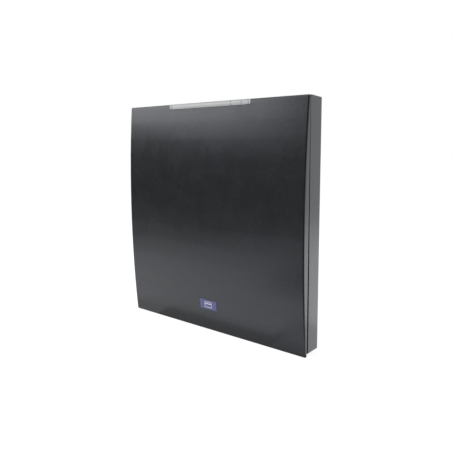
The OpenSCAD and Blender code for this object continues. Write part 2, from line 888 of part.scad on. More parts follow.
module front_cover()
    color(charcoal) difference() {
        union() {
            difference() {
                beam(-half_w, half_w) crown_section(0, cover_low, top_z);
                beam(cover_wall - half_w, half_w - cover_wall)
                    crown_section(cover_wall, cover_low + land, top_z - land, seam_y + 1);
            }
            intersection() {
                beam(-pocket_w / 2 - 6, pocket_w / 2 + 6) crown_section(1, cover_low + 1, top_z - 1);
                block([-half_w, seam_y - 20, cover_low + 5], [half_w, seam_y, pocket_top + 5]);
            }
            for (x = [-hinge_x, hinge_x]) knuckle(x);
            lock_tab();
            for (x = [-stake_x, stake_x]) {
                rod_y(stake_r, seam_y - 2, bar_tab_y + 0.5, x, stake_z);
                rod_y(stake_r + 0.8, bar_tab_y, bar_tab_y + 0.8, x, stake_z);
            }
        }
        block([-bar_w / 2 - bar_gap, seam_y - 10, bar_low - bar_gap],
              [bar_w / 2 + bar_gap, seam_y + 1, top_z + 1]);
        block([-leg_half_w - 2 * bar_gap, neck_front - bar_gap, leg_low - 2 * bar_gap],
              [leg_half_w + 2 * bar_gap, seam_y + 1, bar_low + bar_gap]);
        for (x = [-hinge_x, hinge_x])
            rod_x(pin_r + 0.05, x - knuckle_w, x + knuckle_w, hinge_y, hinge_z);
        rod_z(lock_r + 0.25, tab_low - 1, tab_low + tab_t + 1, 0, lock_y);
        on_badge()
            slab(badge_deep + 0.1, -2) rounded(badge_w + 0.2, badge_h + 0.2, 0.9);
    }

// Depth of the front at a height
function crown_front(z) = crown_y - sqrt(pow(crown_r, 2) - pow(z, 2));

// Frosted bar in the cover's top edge, with its collector leg and two staked tabs
module light_bar()
    color(frost) difference() {
        union() {
            beam(-bar_w / 2, bar_w / 2)
                let (low = bar_low + bar_shadow)
                    polygon([
                        [crown_front(low), low], [seam_y, low],
                        [seam_y, top_z], [crown_front(top_z), top_z]
                    ]);
            block([-leg_half_w, neck_front, leg_low], [leg_half_w, leg_back, leg_high]);
            block([-leg_half_w, neck_front, leg_high - 1], [leg_half_w, neck_back, bar_low + 1]);
            for (x = [-bar_tab_end, leg_half_w - 0.5])
                block([x, seam_y, leg_low + 0.5],
                      [x + bar_tab_end - leg_half_w + 0.5, bar_tab_y, leg_high - 0.5]);
        }
        for (x = [-stake_x, stake_x]) rod_y(stake_r + 0.05, seam_y - 1, bar_tab_y + 1, x, stake_z);
    }

module badge_plate()
    color(badge_blue) on_badge()
        slab(badge_deep, -badge_proud) rounded(badge_w, badge_h, 0.8);

// Raised outline of a plain card with its stripe
module badge_symbol()
    color(ivory) on_badge()
        slab(-badge_proud, -badge_proud - 0.2) {
            difference() {
                rounded(card_w, card_h, 1.2);
                rounded(card_w - 2 * card_line, card_h - 2 * card_line, 0.6);
            }
            translate([card_line / 2 - card_w / 2, 0.5]) square([card_w - card_line, 1.3]);
        }

module lock_screw()
    color(steel) difference() {
        union() {
            rod_z(lock_head_r, lock_seat - lock_head_h, lock_seat, 0, lock_y);
            rod_z(lock_r, lock_seat - 0.1, lock_tip, 0, lock_y);
        }
        translate([0, lock_y, lock_seat - lock_head_h - 0.1]) cylinder(r = 1.7, h = 1.3, $fn = 6);
    }

module lock_screw_clip()
    color(steel) difference() {
        rod_z(lock_r + 1.2, clip_z, clip_z + clip_t, 0, lock_y);
        rod_z(lock_r + 0.02, clip_z - 1, clip_z + clip_t + 1, 0, lock_y);
    }

rear_housing();
rim_seal();
cable_grommet();
hinge_pins();
lock_insert();
standoffs();
main_board();
main_board_screws();
shield_can();
heat_sink();
processor();
logic_chips();
crystal();
filter_capacitors();
power_coils();
sounder();
power_header();
data_header();
header_pins();
power_plug();
power_clamp_screws();
data_plug();
data_clamp_screws();
tamper_switch();
tamper_plunger();
tamper_spring();
antenna_board();
antenna_loop();
antenna_screws();
tuning_capacitors();
coax_jumper();
coax_sockets();
led_board();
led_board_screws();
leds();
ribbon_lead();
ribbon_sockets();
front_cover();
cover_ribs();
light_bar();
badge_plate();
badge_symbol();
lock_screw();
lock_screw_clip();
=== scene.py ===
"""Looks of a square wall reader for contactless cards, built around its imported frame.

The frame is in metres: X to the right, Y into the wall, Z up. The front looks along -Y.
"""

import json
import logging
import math
from collections.abc import Callable, Iterable, Iterator, Sequence
from contextlib import contextmanager
from dataclasses import dataclass
from enum import Enum

import bpy
from mathutils import Matrix, Vector

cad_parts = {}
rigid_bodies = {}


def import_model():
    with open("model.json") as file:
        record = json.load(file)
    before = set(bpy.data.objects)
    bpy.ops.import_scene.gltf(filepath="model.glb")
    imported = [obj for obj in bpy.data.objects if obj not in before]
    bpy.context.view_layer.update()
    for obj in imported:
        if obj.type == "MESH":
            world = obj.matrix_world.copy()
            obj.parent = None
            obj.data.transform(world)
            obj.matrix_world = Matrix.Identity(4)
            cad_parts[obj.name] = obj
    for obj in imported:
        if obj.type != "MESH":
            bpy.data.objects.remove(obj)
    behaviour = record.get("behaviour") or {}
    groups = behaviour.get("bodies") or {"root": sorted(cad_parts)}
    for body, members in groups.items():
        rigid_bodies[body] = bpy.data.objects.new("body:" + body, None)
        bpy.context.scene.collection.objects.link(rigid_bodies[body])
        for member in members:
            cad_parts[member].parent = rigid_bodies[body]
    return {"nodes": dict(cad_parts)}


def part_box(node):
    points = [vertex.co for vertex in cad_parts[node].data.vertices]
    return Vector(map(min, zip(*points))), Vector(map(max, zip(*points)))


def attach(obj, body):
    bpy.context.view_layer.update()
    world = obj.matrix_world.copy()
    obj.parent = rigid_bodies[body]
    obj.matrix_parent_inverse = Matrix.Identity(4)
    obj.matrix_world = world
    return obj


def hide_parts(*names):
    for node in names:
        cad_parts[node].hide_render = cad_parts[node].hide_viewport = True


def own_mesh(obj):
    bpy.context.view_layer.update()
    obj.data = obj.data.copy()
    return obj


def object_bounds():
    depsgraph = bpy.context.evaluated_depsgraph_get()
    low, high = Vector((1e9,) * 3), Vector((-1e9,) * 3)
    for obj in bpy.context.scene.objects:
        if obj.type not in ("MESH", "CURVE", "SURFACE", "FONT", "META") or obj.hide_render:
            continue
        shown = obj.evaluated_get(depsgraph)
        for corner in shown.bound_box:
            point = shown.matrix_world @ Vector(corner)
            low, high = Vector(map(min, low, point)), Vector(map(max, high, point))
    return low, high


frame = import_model()
cad_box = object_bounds()

log = logging.getLogger("reader")
Colour = tuple[float, float, float]
Point = Sequence[float]
Box = tuple[Vector, Vector]
Profile = Sequence[tuple[float, float]]
Softened = tuple[str, str, "Body", "Finish", float]

MM = 0.001
OUT = Vector((0, -1, 0))
WHITE = (1, 1, 1)
# Places closer than this count as one place, and vertices closer than MERGE are merged
NEAR, MERGE = 0.02 * MM, 0.001 * MM
# Angles between faces: made one face below the first, shaded smooth below the second, and
# rounded above the third
FLAT, SMOOTH, SHARP = (math.radians(degrees) for degrees in (0.3, 35, 50))
# Part of a normal along -Y above which a face looks out
FACING = 0.9


class Body(Enum):
    """Bodies that pieces ride on."""

    BASE = "base"
    COVER = "cover"
    LOCK = "lock"
    POWER = "power_plug"
    DATA = "data_plug"
    PLUNGER = "plunger"


class Pick(Enum):
    """What a selection in edit mode picks."""

    FACE = "FACE"
    EDGE = "EDGE"


class Wire:
    """A value in a material's shader maths. Operators on it add Math nodes."""

    def __init__(self, paint: "Paint", socket: bpy.types.NodeSocket) -> None:
        """Wraps an output socket of a material's node."""
        self.paint = paint
        self.socket = socket

    def _math(self, operation: str, *values: "Wire | float") -> "Wire":
        """Adds a Math node and returns its result."""
        return self.paint.node("ShaderNodeMath", {"operation": operation}, dict(enumerate(values)))

    def __add__(self, other: "Wire | float") -> "Wire":
        """Sum."""
        return self._math("ADD", self, other)

    def __sub__(self, other: "Wire | float") -> "Wire":
        """Difference."""
        return self._math("SUBTRACT", self, other)

    def __rsub__(self, other: float) -> "Wire":
        """Difference from a number."""
        return self._math("SUBTRACT", other, self)

    def __mul__(self, other: "Wire | float") -> "Wire":
        """Product."""
        return self._math("MULTIPLY", self, other)

    def __gt__(self, other: "Wire | float") -> "Wire":
        """1 where the value is greater, and 0 elsewhere."""
        return self._math("GREATER_THAN", self, other)

    def __lt__(self, other: "Wire | float") -> "Wire":
        """1 where the value is smaller, and 0 elsewhere."""
        return self._math("LESS_THAN", self, other)

    def __abs__(self) -> "Wire":
        """Size without its sign."""
        return self._math("ABSOLUTE", self)

    def __mod__(self, period: float) -> "Wire":
        """Distance into a period, also below zero."""
        return self._math("FLOORED_MODULO", self, period)

    def either(self, other: "Wire") -> "Wire":
        """The greater of two values."""
        return self._math("MAXIMUM", self, other)

    __radd__ = __add__
    __rmul__ = __mul__


class Paint:
    """A node material or world in the making."""

    def __init__(self, owner: bpy.types.Material | bpy.types.World) -> None:
        """Starts an empty node tree.

        Args:
            owner: The material or world that it belongs to.
        """
        owner.use_nodes = True
        self.owner = owner
        self.tree = owner.node_tree
        self.tree.nodes.clear()

    def node(self, kind: str, settings: dict | None = None, inputs: dict | None = None,
             output: int | str = 0) -> Wire:
        """Adds one node.

        Args:
            kind: The node's type.
            settings: Its properties, set first, with a ramp's stops under "stops".
            inputs: Values or wires of its sockets, by name or number.
            output: Which output to return.

        Returns:
            The chosen output.
        """
        made = self.tree.nodes.new(kind)
        for name, value in (settings or {}).items():
            if name == "stops":
                self._set_stops(made.color_ramp, value)
            else:
                setattr(made, name, value)
        for key, value in (inputs or {}).items():
            socket = made.inputs[key]
            if isinstance(value, Wire):
                self.tree.links.new(value.socket, socket)
            elif socket.type == "RGBA":
                socket.default_value = (*value, 1.0)
            else:
                socket.default_value = value
        return Wire(self, made.outputs[output] if len(made.outputs) else None)

    @staticmethod
    def _set_stops(ramp: bpy.types.ColorRamp, stops: Sequence[tuple[float, Colour]]) -> None:
        """Gives a ramp its stops.

        Args:
            ramp: The ramp of a new node.
            stops: Place and colour of each stop.
        """
        while len(ramp.elements) < len(stops):
            ramp.elements.new(1.0)
        for element, (place, colour) in zip(ramp.elements, stops):
            element.position = place
            element.color = (*colour, 1.0)

    def parts(self, wire: Wire) -> tuple[Wire, Wire, Wire]:
        """The three parts of a vector or a colour."""
        split = self.node("ShaderNodeSeparateXYZ", inputs={0: wire}).socket.node
        return tuple(Wire(self, socket) for socket in split.outputs)

    def place(self) -> Wire:
        """Object coordinates."""
        return self.node("ShaderNodeTexCoord", output="Object")

    def noise(self, size: float, detail: float = 2.0, stretch: Point = (1, 1, 1)) -> Wire:
        """Soft noise.

        Args:
            size: Size of its patches, in metres.
            detail: How many finer octaves it has.
            stretch: Factors on the coordinates, for grain that runs one way.

        Returns:
            A value about one half.
        """
        at = self.node("ShaderNodeVectorMath", {"operation": "MULTIPLY"},
                       {0: self.place(), 1: tuple(stretch)})
        return self.node("ShaderNodeTexNoise",
                         inputs={"Vector": at, "Scale": 1 / size, "Detail": detail})

    def mix(self, share: "Wire | float", low: "Wire | Colour", high: "Wire | Colour",
            way: str = "MIX") -> Wire:
        """Colour between two colours, or another way of joining them."""
        return self.node("ShaderNodeMix", {"data_type": "RGBA", "blend_type": way},
                         {0: share, 6: low, 7: high}, 2)

    def bump(self, height: Wire, depth: float) -> Wire:
        """Normal of a face with fine relief of a depth in metres."""
        return self.node("ShaderNodeBump", inputs={"Height": height, "Distance": depth})

    def glow(self, kind: str, strength: float) -> Wire:
        """White light of a strength, from an emission or a background node."""
        return self.node(kind, inputs={"Color": WHITE, "Strength": strength})

    def blend(self, share: Wire, low: Wire, high: Wire) -> Wire:
        """Shader between two shaders."""
        return self.node("ShaderNodeMixShader", inputs={0: share, 1: low, 2: high})

    def closed(self, shader: Wire) -> bpy.types.Material:
        """The material with this shader on its surface."""
        self.node("ShaderNodeOutputMaterial", inputs={"Surface": shader})
        return self.owner


@dataclass(frozen=True)
class Finish:
    """A finish whose colour wanders a little and whose face has a fine grain.

    Attributes:
        name: Name of the material.
        slot: The record's material slot that it belongs to. Not used.
        colour: Its mean colour.
        roughness: Its mean roughness.
        metallic: 1 for bare metal.
        wander: Share by which the colour wanders.
        patch: Size of the patches in which it wanders, in metres.
        grain: Size of the grain, in metres.
        depth: Depth of the grain, in metres.
        stretch: Factors on the coordinates of the grain.
        sheen: Tint of its reflections.
        patch_rough: How far the patches move the roughness.
        grain_rough: How far the grain moves the roughness.
    """

    name: str
    slot: str
    colour: Colour
    roughness: float
    metallic: float = 0.0
    wander: float = 0.08
    patch: float = 12 * MM
    grain: float = 0.5 * MM
    depth: float = 0.01 * MM
    stretch: tuple[float, float, float] = (1, 1, 1)
    sheen: Colour = WHITE
    patch_rough: float = 0.12
    grain_rough: float = 0.08

    def material(self) -> bpy.types.Material:
        """Looks the finish's material up, or makes it on its first use.

        Returns:
            The material.
        """
        found = bpy.data.materials.get(self.name)
        if found:
            return found
        paint = Paint(bpy.data.materials.new(self.name))
        return paint.closed(paint.node("ShaderNodeBsdfPrincipled", inputs=self.sockets(paint)))

    def shades(self) -> tuple[Colour, Colour]:
        """Darkest and lightest shade of the colour."""
        return (tuple(c * (1 - self.wander) for c in self.colour),
                tuple(min(1.0, c * (1 + self.wander)) for c in self.colour))

    def sockets(self, paint: Paint) -> dict:
        """Sockets of the shader.

        Args:
            paint: The material in the making.

        Returns:
            Values and wires by socket name.
        """
        cloud = paint.noise(self.patch, detail=3.0)
        grain = paint.noise(self.grain, stretch=self.stretch)
        uneven = (cloud - 0.5) * self.patch_rough + (grain - 0.5) * self.grain_rough
        return {
            "Base Color": paint.mix(cloud, *self.shades()),
            "Metallic": self.metallic,
            "Roughness": self.roughness + uneven,
            "Normal": paint.bump(grain, self.depth),
            "Specular Tint": self.sheen,
        }


@dataclass(frozen=True)
class Frosted(Finish):
    """Frosted bar, with bands of painted light and shade from its low edge to its high edge.

    Attributes:
        scatter: Share of the light that goes inside.
        spread: How far that light wanders, in metres.
        reach: Low edge and high edge of the bar.
        painted_light_bands: Place between the edges and brightness of each band of painted light and
            shade.
    """

    scatter: float = 0.5
    spread: float = 3 * MM
    reach: tuple[float, float] = (144.5 * MM, 151 * MM)
    # Painted light and shade: brightness along the bar's height, from a dark low edge to a painted
    # highlight band above the middle
    painted_light_bands: tuple[tuple[float, float], ...] = (
        (0.0, 0.46), (0.25, 0.54), (0.45, 0.68), (0.62, 0.90), (0.82, 0.70), (1.0, 0.72))

    def sockets(self, paint: Paint) -> dict:
        """Adds the bands of painted light and shade and the scattering to the plain finish.

        Args:
            paint: The material in the making.

        Returns:
            Values and wires by socket name.
        """
        z = paint.parts(paint.place())[2]
        low, high = self.reach
        stops = [(place, (shade,) * 3) for place, shade in self.painted_light_bands]
        # Painted light and shade: a ramp over the bar's height multiplies its colour, darkest at the low
        # edge and brightest in a painted highlight band
        painted_light_bands = paint.node("ShaderNodeValToRGB", {"stops": stops}, {0: (z - low) * (1 / (high - low))})
        base = super().sockets(paint)
        return base | {
            "Base Color": paint.mix(1.0, base["Base Color"], painted_light_bands, "MULTIPLY"),
            "Subsurface Weight": self.scatter,
            "Subsurface Radius": WHITE,
            "Subsurface Scale": self.spread,
        }


@dataclass(frozen=True)
class Board(Finish):
    """Printed board: solder mask over tracks on its faces, and bare laminate at its edges.

    Attributes:
        pitch: Pitch of the tracks.
        track: Share of the pitch that a track takes up.
        relief: How far a track stands up.
        cell: Size of the patches in which the tracks run one way.
        share: Share of the patches that carry tracks.
        flat: Part of a normal along Y above which it belongs to a face, not to an edge.
        over_track: Colour of the mask where it covers a track.
        laminate: Colour of the edges.
    """

    pitch: float = 1.2 * MM
    track: float = 0.4
    relief: float = 0.05 * MM
    cell: float = 9 * MM
    share: float = 0.6
    flat: float = 0.7
    over_track: Colour = (0.020, 0.170, 0.080)
    laminate: Colour = (0.40, 0.34, 0.18)

    def sockets(self, paint: Paint) -> dict:
        """Adds tracks and edges to the plain finish.

        Args:
            paint: The material in the making.

        Returns:
            Values and wires by socket name.
        """
        x, _, z = paint.parts(paint.place())
        cells = paint.node("ShaderNodeTexVoronoi", {"distance": "CHEBYCHEV"},
                           {"Vector": paint.place(), "Scale": 1 / self.cell}, "Color")
        way, used, _ = paint.parts(cells)
        wide = self.track * self.pitch
        upright = ((x % self.pitch) < wide) * (way > 0.5)
        level = ((z % self.pitch) < wide) * (way < 0.5)
        tracks = (upright + level) * (used < self.share)
        normal = paint.node("ShaderNodeNewGeometry", output="True Normal")
        face = abs(paint.parts(normal)[1]) > self.flat
        base = super().sockets(paint)
        mask = paint.mix(tracks, base["Base Color"], self.over_track)
        return base | {
            "Base Color": paint.mix(face, self.laminate, mask),
            "Normal": paint.bump(tracks * face, self.relief),
        }


@dataclass(frozen=True)
class Sleeve(Finish):
    """Printed sleeve with a pale stripe down the left of each can in a row of cans.

    Attributes:
        first: Where the first can stands, along X.
        pitch: From one can to the next.
        edge: From the middle of a can to the edge of its stripe.
        stripe: Colour of the stripe.
    """

    first: float = -76 * MM
    pitch: float = 13 * MM
    edge: float = 3.9 * MM
    stripe: Colour = (0.55, 0.57, 0.60)

    def sockets(self, paint: Paint) -> dict:
        """Adds the stripe to the plain finish.

        Args:
            paint: The material in the making.

        Returns:
            Values and wires by socket name.
        """
        x = paint.parts(paint.place())[0]
        off = (x - (self.first - self.pitch / 2)) % self.pitch
        base = super().sockets(paint)
        striped = off < self.pitch / 2 - self.edge
        return base | {"Base Color": paint.mix(striped, base["Base Color"], self.stripe)}


CASING = Finish("charcoal_plastic", "casing", (0.0135, 0.0141, 0.0161), 0.27, wander=0.10,
                patch=30 * MM, grain=0.45 * MM, depth=0.012 * MM, sheen=(0.885, 0.925, 1.0))
FROST = Frosted("frosted_bar", "light_bar", (0.62, 0.64, 0.65), 0.30, wander=0.05, patch=8 * MM,
                grain=0.3 * MM, depth=0.008 * MM)
BADGE = Finish("badge_blue", "badge", (0.080, 0.085, 0.260), 0.28, wander=0.12, patch=3 * MM,
               grain=0.25 * MM, depth=0.006 * MM)
SYMBOL = Finish("badge_pale", "badge_symbol", (0.72, 0.73, 0.77), 0.35, wander=0.04)
RUBBER = Finish("soft_rubber", "rubber", (0.014, 0.014, 0.015), 0.70, wander=0.2, depth=0.03 * MM)
STEEL = Finish("zinc_steel", "steel", (0.56, 0.57, 0.58), 0.30, 1.0, patch=4 * MM, grain=0.2 * MM)
BRASS = Finish("turned_brass", "brass", (0.62, 0.45, 0.18), 0.28, 1.0, patch=4 * MM,
               grain=0.2 * MM)
GOLD = Finish("gold_plate", "brass", (0.72, 0.52, 0.20), 0.22, 1.0, patch=3 * MM, grain=0.2 * MM)
COPPER = Finish("bare_copper", "copper", (0.58, 0.26, 0.13), 0.34, 1.0, wander=0.15,
                patch=20 * MM)
WINDING = Finish("copper_enamel", "copper", (0.42, 0.14, 0.05), 0.25, 0.8, wander=0.15)
TIN = Finish("tinned_sheet", "tin", (0.60, 0.61, 0.61), 0.33, 1.0, patch=15 * MM, grain=0.6 * MM)
SOLDER = Finish("bright_solder", "tin", (0.66, 0.66, 0.66), 0.28, 1.0, patch=3 * MM)
ALUMINIUM = Finish("drawn_aluminium", "aluminium", (0.56, 0.57, 0.58), 0.36, 1.0, grain=0.4 * MM,
                   depth=0.02 * MM, stretch=(1, 1, 0.03))
CAN_TOP = Finish("can_top", "can", (0.58, 0.59, 0.60), 0.34, 1.0)
SLEEVE = Sleeve("can_sleeve", "can", (0.016, 0.026, 0.075), 0.32)
EPOXY = Finish("chip_epoxy", "chip", (0.016, 0.016, 0.018), 0.55, wander=0.2, grain=0.15 * MM)
FERRITE = Finish("grey_ferrite", "chip", (0.055, 0.055, 0.058), 0.62, wander=0.2, grain=0.3 * MM,
                 depth=0.03 * MM)
MASK = Board("green_mask", "board", (0.012, 0.105, 0.052), 0.30)
RING_MASK = Board("ring_mask", "board", (0.012, 0.105, 0.052), 0.30, share=0.0)
WHITE_MASK = Board("white_mask", "light_board", (0.72, 0.74, 0.73), 0.35, wander=0.03, share=0.4,
                   over_track=(0.80, 0.82, 0.81))
INK = Finish("board_ink", "light_board", (0.75, 0.76, 0.74), 0.55, wander=0.1, patch=2 * MM)
TERMINAL = Finish("terminal_green", "terminal", (0.030, 0.215, 0.062), 0.40, wander=0.07)
CERAMIC = Finish("brown_ceramic", "capacitor", (0.36, 0.24, 0.12), 0.45, wander=0.15,
                 patch=1 * MM)
COAX = Finish("coax_sleeve", "coax", (0.022, 0.022, 0.024), 0.42)
RIBBON = Finish("ribbon_grey", "ribbon", (0.33, 0.34, 0.36), 0.45)
RIBBON_MARK = Finish("ribbon_red", "ribbon", (0.30, 0.035, 0.030), 0.45)
IVORY = Finish("ivory_plastic", "ivory", (0.74, 0.72, 0.64), 0.40, wander=0.04)
PACKAGE = Finish("led_package", "led", (0.80, 0.80, 0.77), 0.40, wander=0.04)
PHOSPHOR = Finish("led_phosphor", "led", (0.80, 0.62, 0.10), 0.30, wander=0.1, patch=1 * MM)


def metres(points: Profile) -> list[tuple[float, float]]:
    """Points in metres, from points in millimetres."""
    return [(a * MM, b * MM) for a, b in points]


def middle(box: Box) -> Vector:
    """Middle of a box."""
    return (box[0] + box[1]) / 2


def at_depth(box: Box, y: float) -> Vector:
    """Middle of a box, moved to a place along Y."""
    at = middle(box)
    return Vector((at.x, y, at.z))


def standing(box: Box) -> tuple[Vector, float, float]:
    """Foot, radius and height of a round part that stands out along -Y."""
    low, high = box
    return at_depth(box, high.y), (high.x - low.x) / 2, high.y - low.y


def about(place: Vector, degrees: float) -> Matrix:
    """Turn about an axis along Y through a place."""
    turn = Matrix.Rotation(math.radians(degrees), 4, "Y")
    return Matrix.Translation(place) @ turn @ Matrix.Translation(-place)


def bent(path: Sequence[Point], radius: float, steps: int = 8, most: float = 0.49) -> list[Vector]:
    """A path of straight runs with its corners rounded.

    Args:
        path: Ends and corners of the runs.
        radius: Bend radius, made smaller where a run is short.
        steps: Points per bend.
        most: Share of a run that one bend may take.

    Returns:
        Points along the rounded path.
    """
    path = [Vector(p) for p in path]
    rounded = [path[0]]
    for before, corner, after in zip(path, path[1:], path[2:]):
        back, ahead = before - corner, after - corner
        turn = math.pi - back.angle(ahead)
        reach = min(radius * math.tan(turn / 2), most * back.length, most * ahead.length)
        start, end = corner + back.normalized() * reach, corner + ahead.normalized() * reach
        for i in range(steps + 1):
            t = i / steps
            rounded.append(start.lerp(corner, t).lerp(corner.lerp(end, t), t))
    return rounded + [path[-1]]


class Piece:
    """One mesh object at the bench, shaped in edit mode and by applied modifiers."""

    def __init__(self, obj: bpy.types.Object) -> None:
        """Takes an object to the bench."""
        self.obj = obj

    @staticmethod
    def _clear_bench() -> None:
        """Leaves nothing selected."""
        if bpy.context.object and bpy.context.object.mode != "OBJECT":
            bpy.ops.object.mode_set(mode="OBJECT")
        bpy.ops.object.select_all(action="DESELECT")

    @classmethod
    def _made(cls, name: str) -> "Piece":
        """Takes in the object that an operator has just added, its place put into its mesh.

        Args:
            name: Name of the piece.

        Returns:
            The piece.
        """
        obj = bpy.context.object
        obj.name = obj.data.name = name
        return cls(obj)._settled()

    @classmethod
    def _linked(cls, name: str, data: bpy.types.ID) -> "Piece":
        """Puts a new object on the bench.

        Args:
            name: Name of the object.
            data: Its mesh or curve.

        Returns:
            The piece.
        """
        cls._clear_bench()
        obj = bpy.data.objects.new(name, data)
        bpy.context.scene.collection.objects.link(obj)
        piece = cls(obj)
        piece._to_front()
        return piece

    @classmethod
    def block(cls, name: str, low: Point, high: Point) -> "Piece":
        """Box.

        Args:
            name: Name of the piece.
            low: Its low corner.
            high: Its high corner.

        Returns:
            The piece.
        """
        cls._clear_bench()
        low, high = Vector(low), Vector(high)
        bpy.ops.mesh.primitive_cube_add(size=1, location=(low + high) / 2, scale=high - low)
        return cls._made(name)

    @classmethod
    def cutter(cls, name: str, place: Vector, half: Vector) -> "Piece":
        """Box that reaches as far as a half size both ways from a place."""
        return cls.block(name, place - half, place + half)

    @classmethod
    def rod(cls, name: str, start: Point, end: Point, radius: float, sides: int = 20) -> "Piece":
        """Rod.

        Args:
            name: Name of the piece.
            start: Middle of one end.
            end: Middle of the other end.
            radius: Its radius.
            sides: Facets round it.

        Returns:
            The piece.
        """
        cls._clear_bench()
        start, end = Vector(start), Vector(end)
        bpy.ops.mesh.primitive_cylinder_add(
            vertices=sides, radius=radius, depth=(end - start).length, location=(start + end) / 2,
            rotation=(end - start).to_track_quat("Z", "Y").to_euler())
        return cls._made(name)

    @classmethod
    def _line(cls, name: str, points: Sequence[Point]) -> "Piece":
        """Chain of vertices, extruded from point to point.

        Args:
            name: Name of the piece.
            points: The points.

        Returns:
            The piece, with edges only.
        """
        cls._clear_bench()
        bpy.ops.mesh.primitive_plane_add(size=1)
        piece = cls._made(name)
        points = [Vector(p) for p in points]
        with piece.picked():
            bpy.ops.mesh.merge(type="CENTER")
            bpy.ops.transform.translate(value=points[0])
            for start, end in zip(points, points[1:]):
                bpy.ops.mesh.extrude_vertices_move(TRANSFORM_OT_translate={"value": end - start})
        return piece

    @classmethod
    def turned(cls, name: str, profile: Profile, foot: Point, axis: Point = OUT,
               steps: int = 40) -> "Piece":
        """Shape spun about an axis.

        Args:
            name: Name of the piece.
            profile: Radius and height of each point of its half section.
            foot: Point on the axis at height zero.
            axis: Which way heights run.
            steps: Facets round the axis.

        Returns:
            The piece.
        """
        piece = cls._line(name, [(r, 0, h) for r, h in profile])
        with piece.picked(pick=Pick.EDGE):
            bpy.ops.mesh.spin(steps=steps, angle=math.tau, center=(0, 0, 0), axis=(0, 0, 1))
        return piece._closed()._stood(foot, axis)

    @classmethod
    def coil(cls, name: str, section: Profile, turns: float, pitch: float, foot: Point,
             axis: Point, facets: int = 24) -> "Piece":
        """Closed section wound up along an axis.

        Args:
            name: Name of the piece.
            section: Radius and height of each corner of the section.
            turns: How often it goes round.
            pitch: Rise per turn.
            foot: Point on the axis at height zero.
            axis: Which way it rises.
            facets: Facets per turn.

        Returns:
            The piece.
        """
        piece = cls._line(name, [(r, 0, h) for r, h in (*section, section[0])])
        with piece.picked():
            bpy.ops.mesh.remove_doubles(threshold=MERGE)
        steps = round(facets * turns)
        piece.modifier("SCREW", axis="Z", angle=math.tau * turns, screw_offset=pitch * turns,
                       steps=steps, render_steps=steps)
        with piece.picked(pick=Pick.EDGE):
            bpy.ops.mesh.fill_holes(sides=0)
        return piece._closed()._stood(foot, axis)

    @classmethod
    def strip(cls, name: str, path: Sequence[Point], across: Point, thickness: float) -> "Piece":
        """Strip of sheet.

        Args:
            name: Name of the piece.
            path: Points along one edge.
            across: From that edge to the other.
            thickness: Its thickness.

        Returns:
            The piece.
        """
        piece = cls._line(name, path)
        with piece.picked(pick=Pick.EDGE):
            bpy.ops.mesh.extrude_edges_move(TRANSFORM_OT_translate={"value": Vector(across)})
        return piece.modifier("SOLIDIFY", thickness=thickness, offset=0.0)._closed()

    @classmethod
    def tube(cls, name: str, path: Sequence[Point], radius: float) -> "Piece":
        """Round tube with closed ends.

        Args:
            name: Name of the piece.
            path: Points along its middle.
            radius: Its radius.

        Returns:
            The piece.
        """
        curve = bpy.data.curves.new(name, "CURVE")
        curve.dimensions = "3D"
        curve.bevel_depth, curve.bevel_resolution, curve.use_fill_caps = radius, 2, True
        spline = curve.splines.new("POLY")
        spline.points.add(len(path) - 1)
        for point, place in zip(spline.points, path):
            point.co = (*place, 1.0)
        cls._linked(name, curve)
        bpy.ops.object.convert(target="MESH")
        return cls(bpy.context.object)._closed()

    @classmethod
    def copy_of(cls, name: str, node: str) -> "Piece":
        """Copy of a CAD node, merged, with its flat faces made whole again.

        Args:
            name: Name of the piece.
            node: The CAD node.

        Returns:
            The piece.
        """
        piece = cls._linked(name, frame["nodes"][node].data.copy())
        piece.obj.data.materials.clear()
        bpy.ops.mesh.customdata_custom_splitnormals_clear()
        with piece.picked():
            bpy.ops.mesh.remove_doubles(threshold=MERGE)
            bpy.ops.mesh.dissolve_limited(angle_limit=FLAT)
        return piece

    def _to_front(self) -> None:
        """Makes the piece the one that operators act on."""
        self._clear_bench()
        self.obj.select_set(True)
        bpy.context.view_layer.objects.active = self.obj

    def _closed(self) -> "Piece":
        """Merges what meets and turns every face outwards.

        Returns:
            The piece itself.
        """
        with self.picked():
            bpy.ops.mesh.remove_doubles(threshold=MERGE)
            bpy.ops.mesh.normals_make_consistent(inside=False)
        return self

    def _stood(self, foot: Point, axis: Point) -> "Piece":
        """Stands the piece where it belongs.

        Args:
            foot: Where its origin goes.
            axis: Where its height points.

        Returns:
            The piece itself.
        """
        self._to_front()
        self.obj.location = foot
        self.obj.rotation_euler = Vector(axis).to_track_quat("Z", "Y").to_euler()
        return self._settled()

    def _settled(self) -> "Piece":
        """Puts the place, turn and scale of the piece at the front into its mesh."""
        bpy.ops.object.transform_apply(location=True, rotation=True, scale=True)
        return self

    @contextmanager
    def picked(self, test: Callable | None = None, pick: Pick = Pick.FACE) -> Iterator[None]:
        """Edit mode with part of the mesh selected.

        Args:
            test: Takes a face, or an edge's two ends, and says whether it is picked. All if
                left out.
            pick: What the test looks at.

        Yields:
            Nothing, while edit mode lasts.
        """
        self._to_front()
        mesh = self.obj.data
        bpy.ops.object.mode_set(mode="EDIT")
        bpy.ops.mesh.select_mode(type="VERT" if test is None else pick.value)
        bpy.ops.mesh.select_all(action="DESELECT" if test else "SELECT")
        if test:
            bpy.ops.object.mode_set(mode="OBJECT")
            if pick is Pick.FACE:
                for face in mesh.polygons:
                    face.select = test(face)
            else:
                ends = [v.co for v in mesh.vertices]
                for edge in mesh.edges:
                    edge.select = test(*(ends[i] for i in edge.vertices))
            bpy.ops.object.mode_set(mode="EDIT")
        yield
        bpy.ops.object.mode_set(mode="OBJECT")

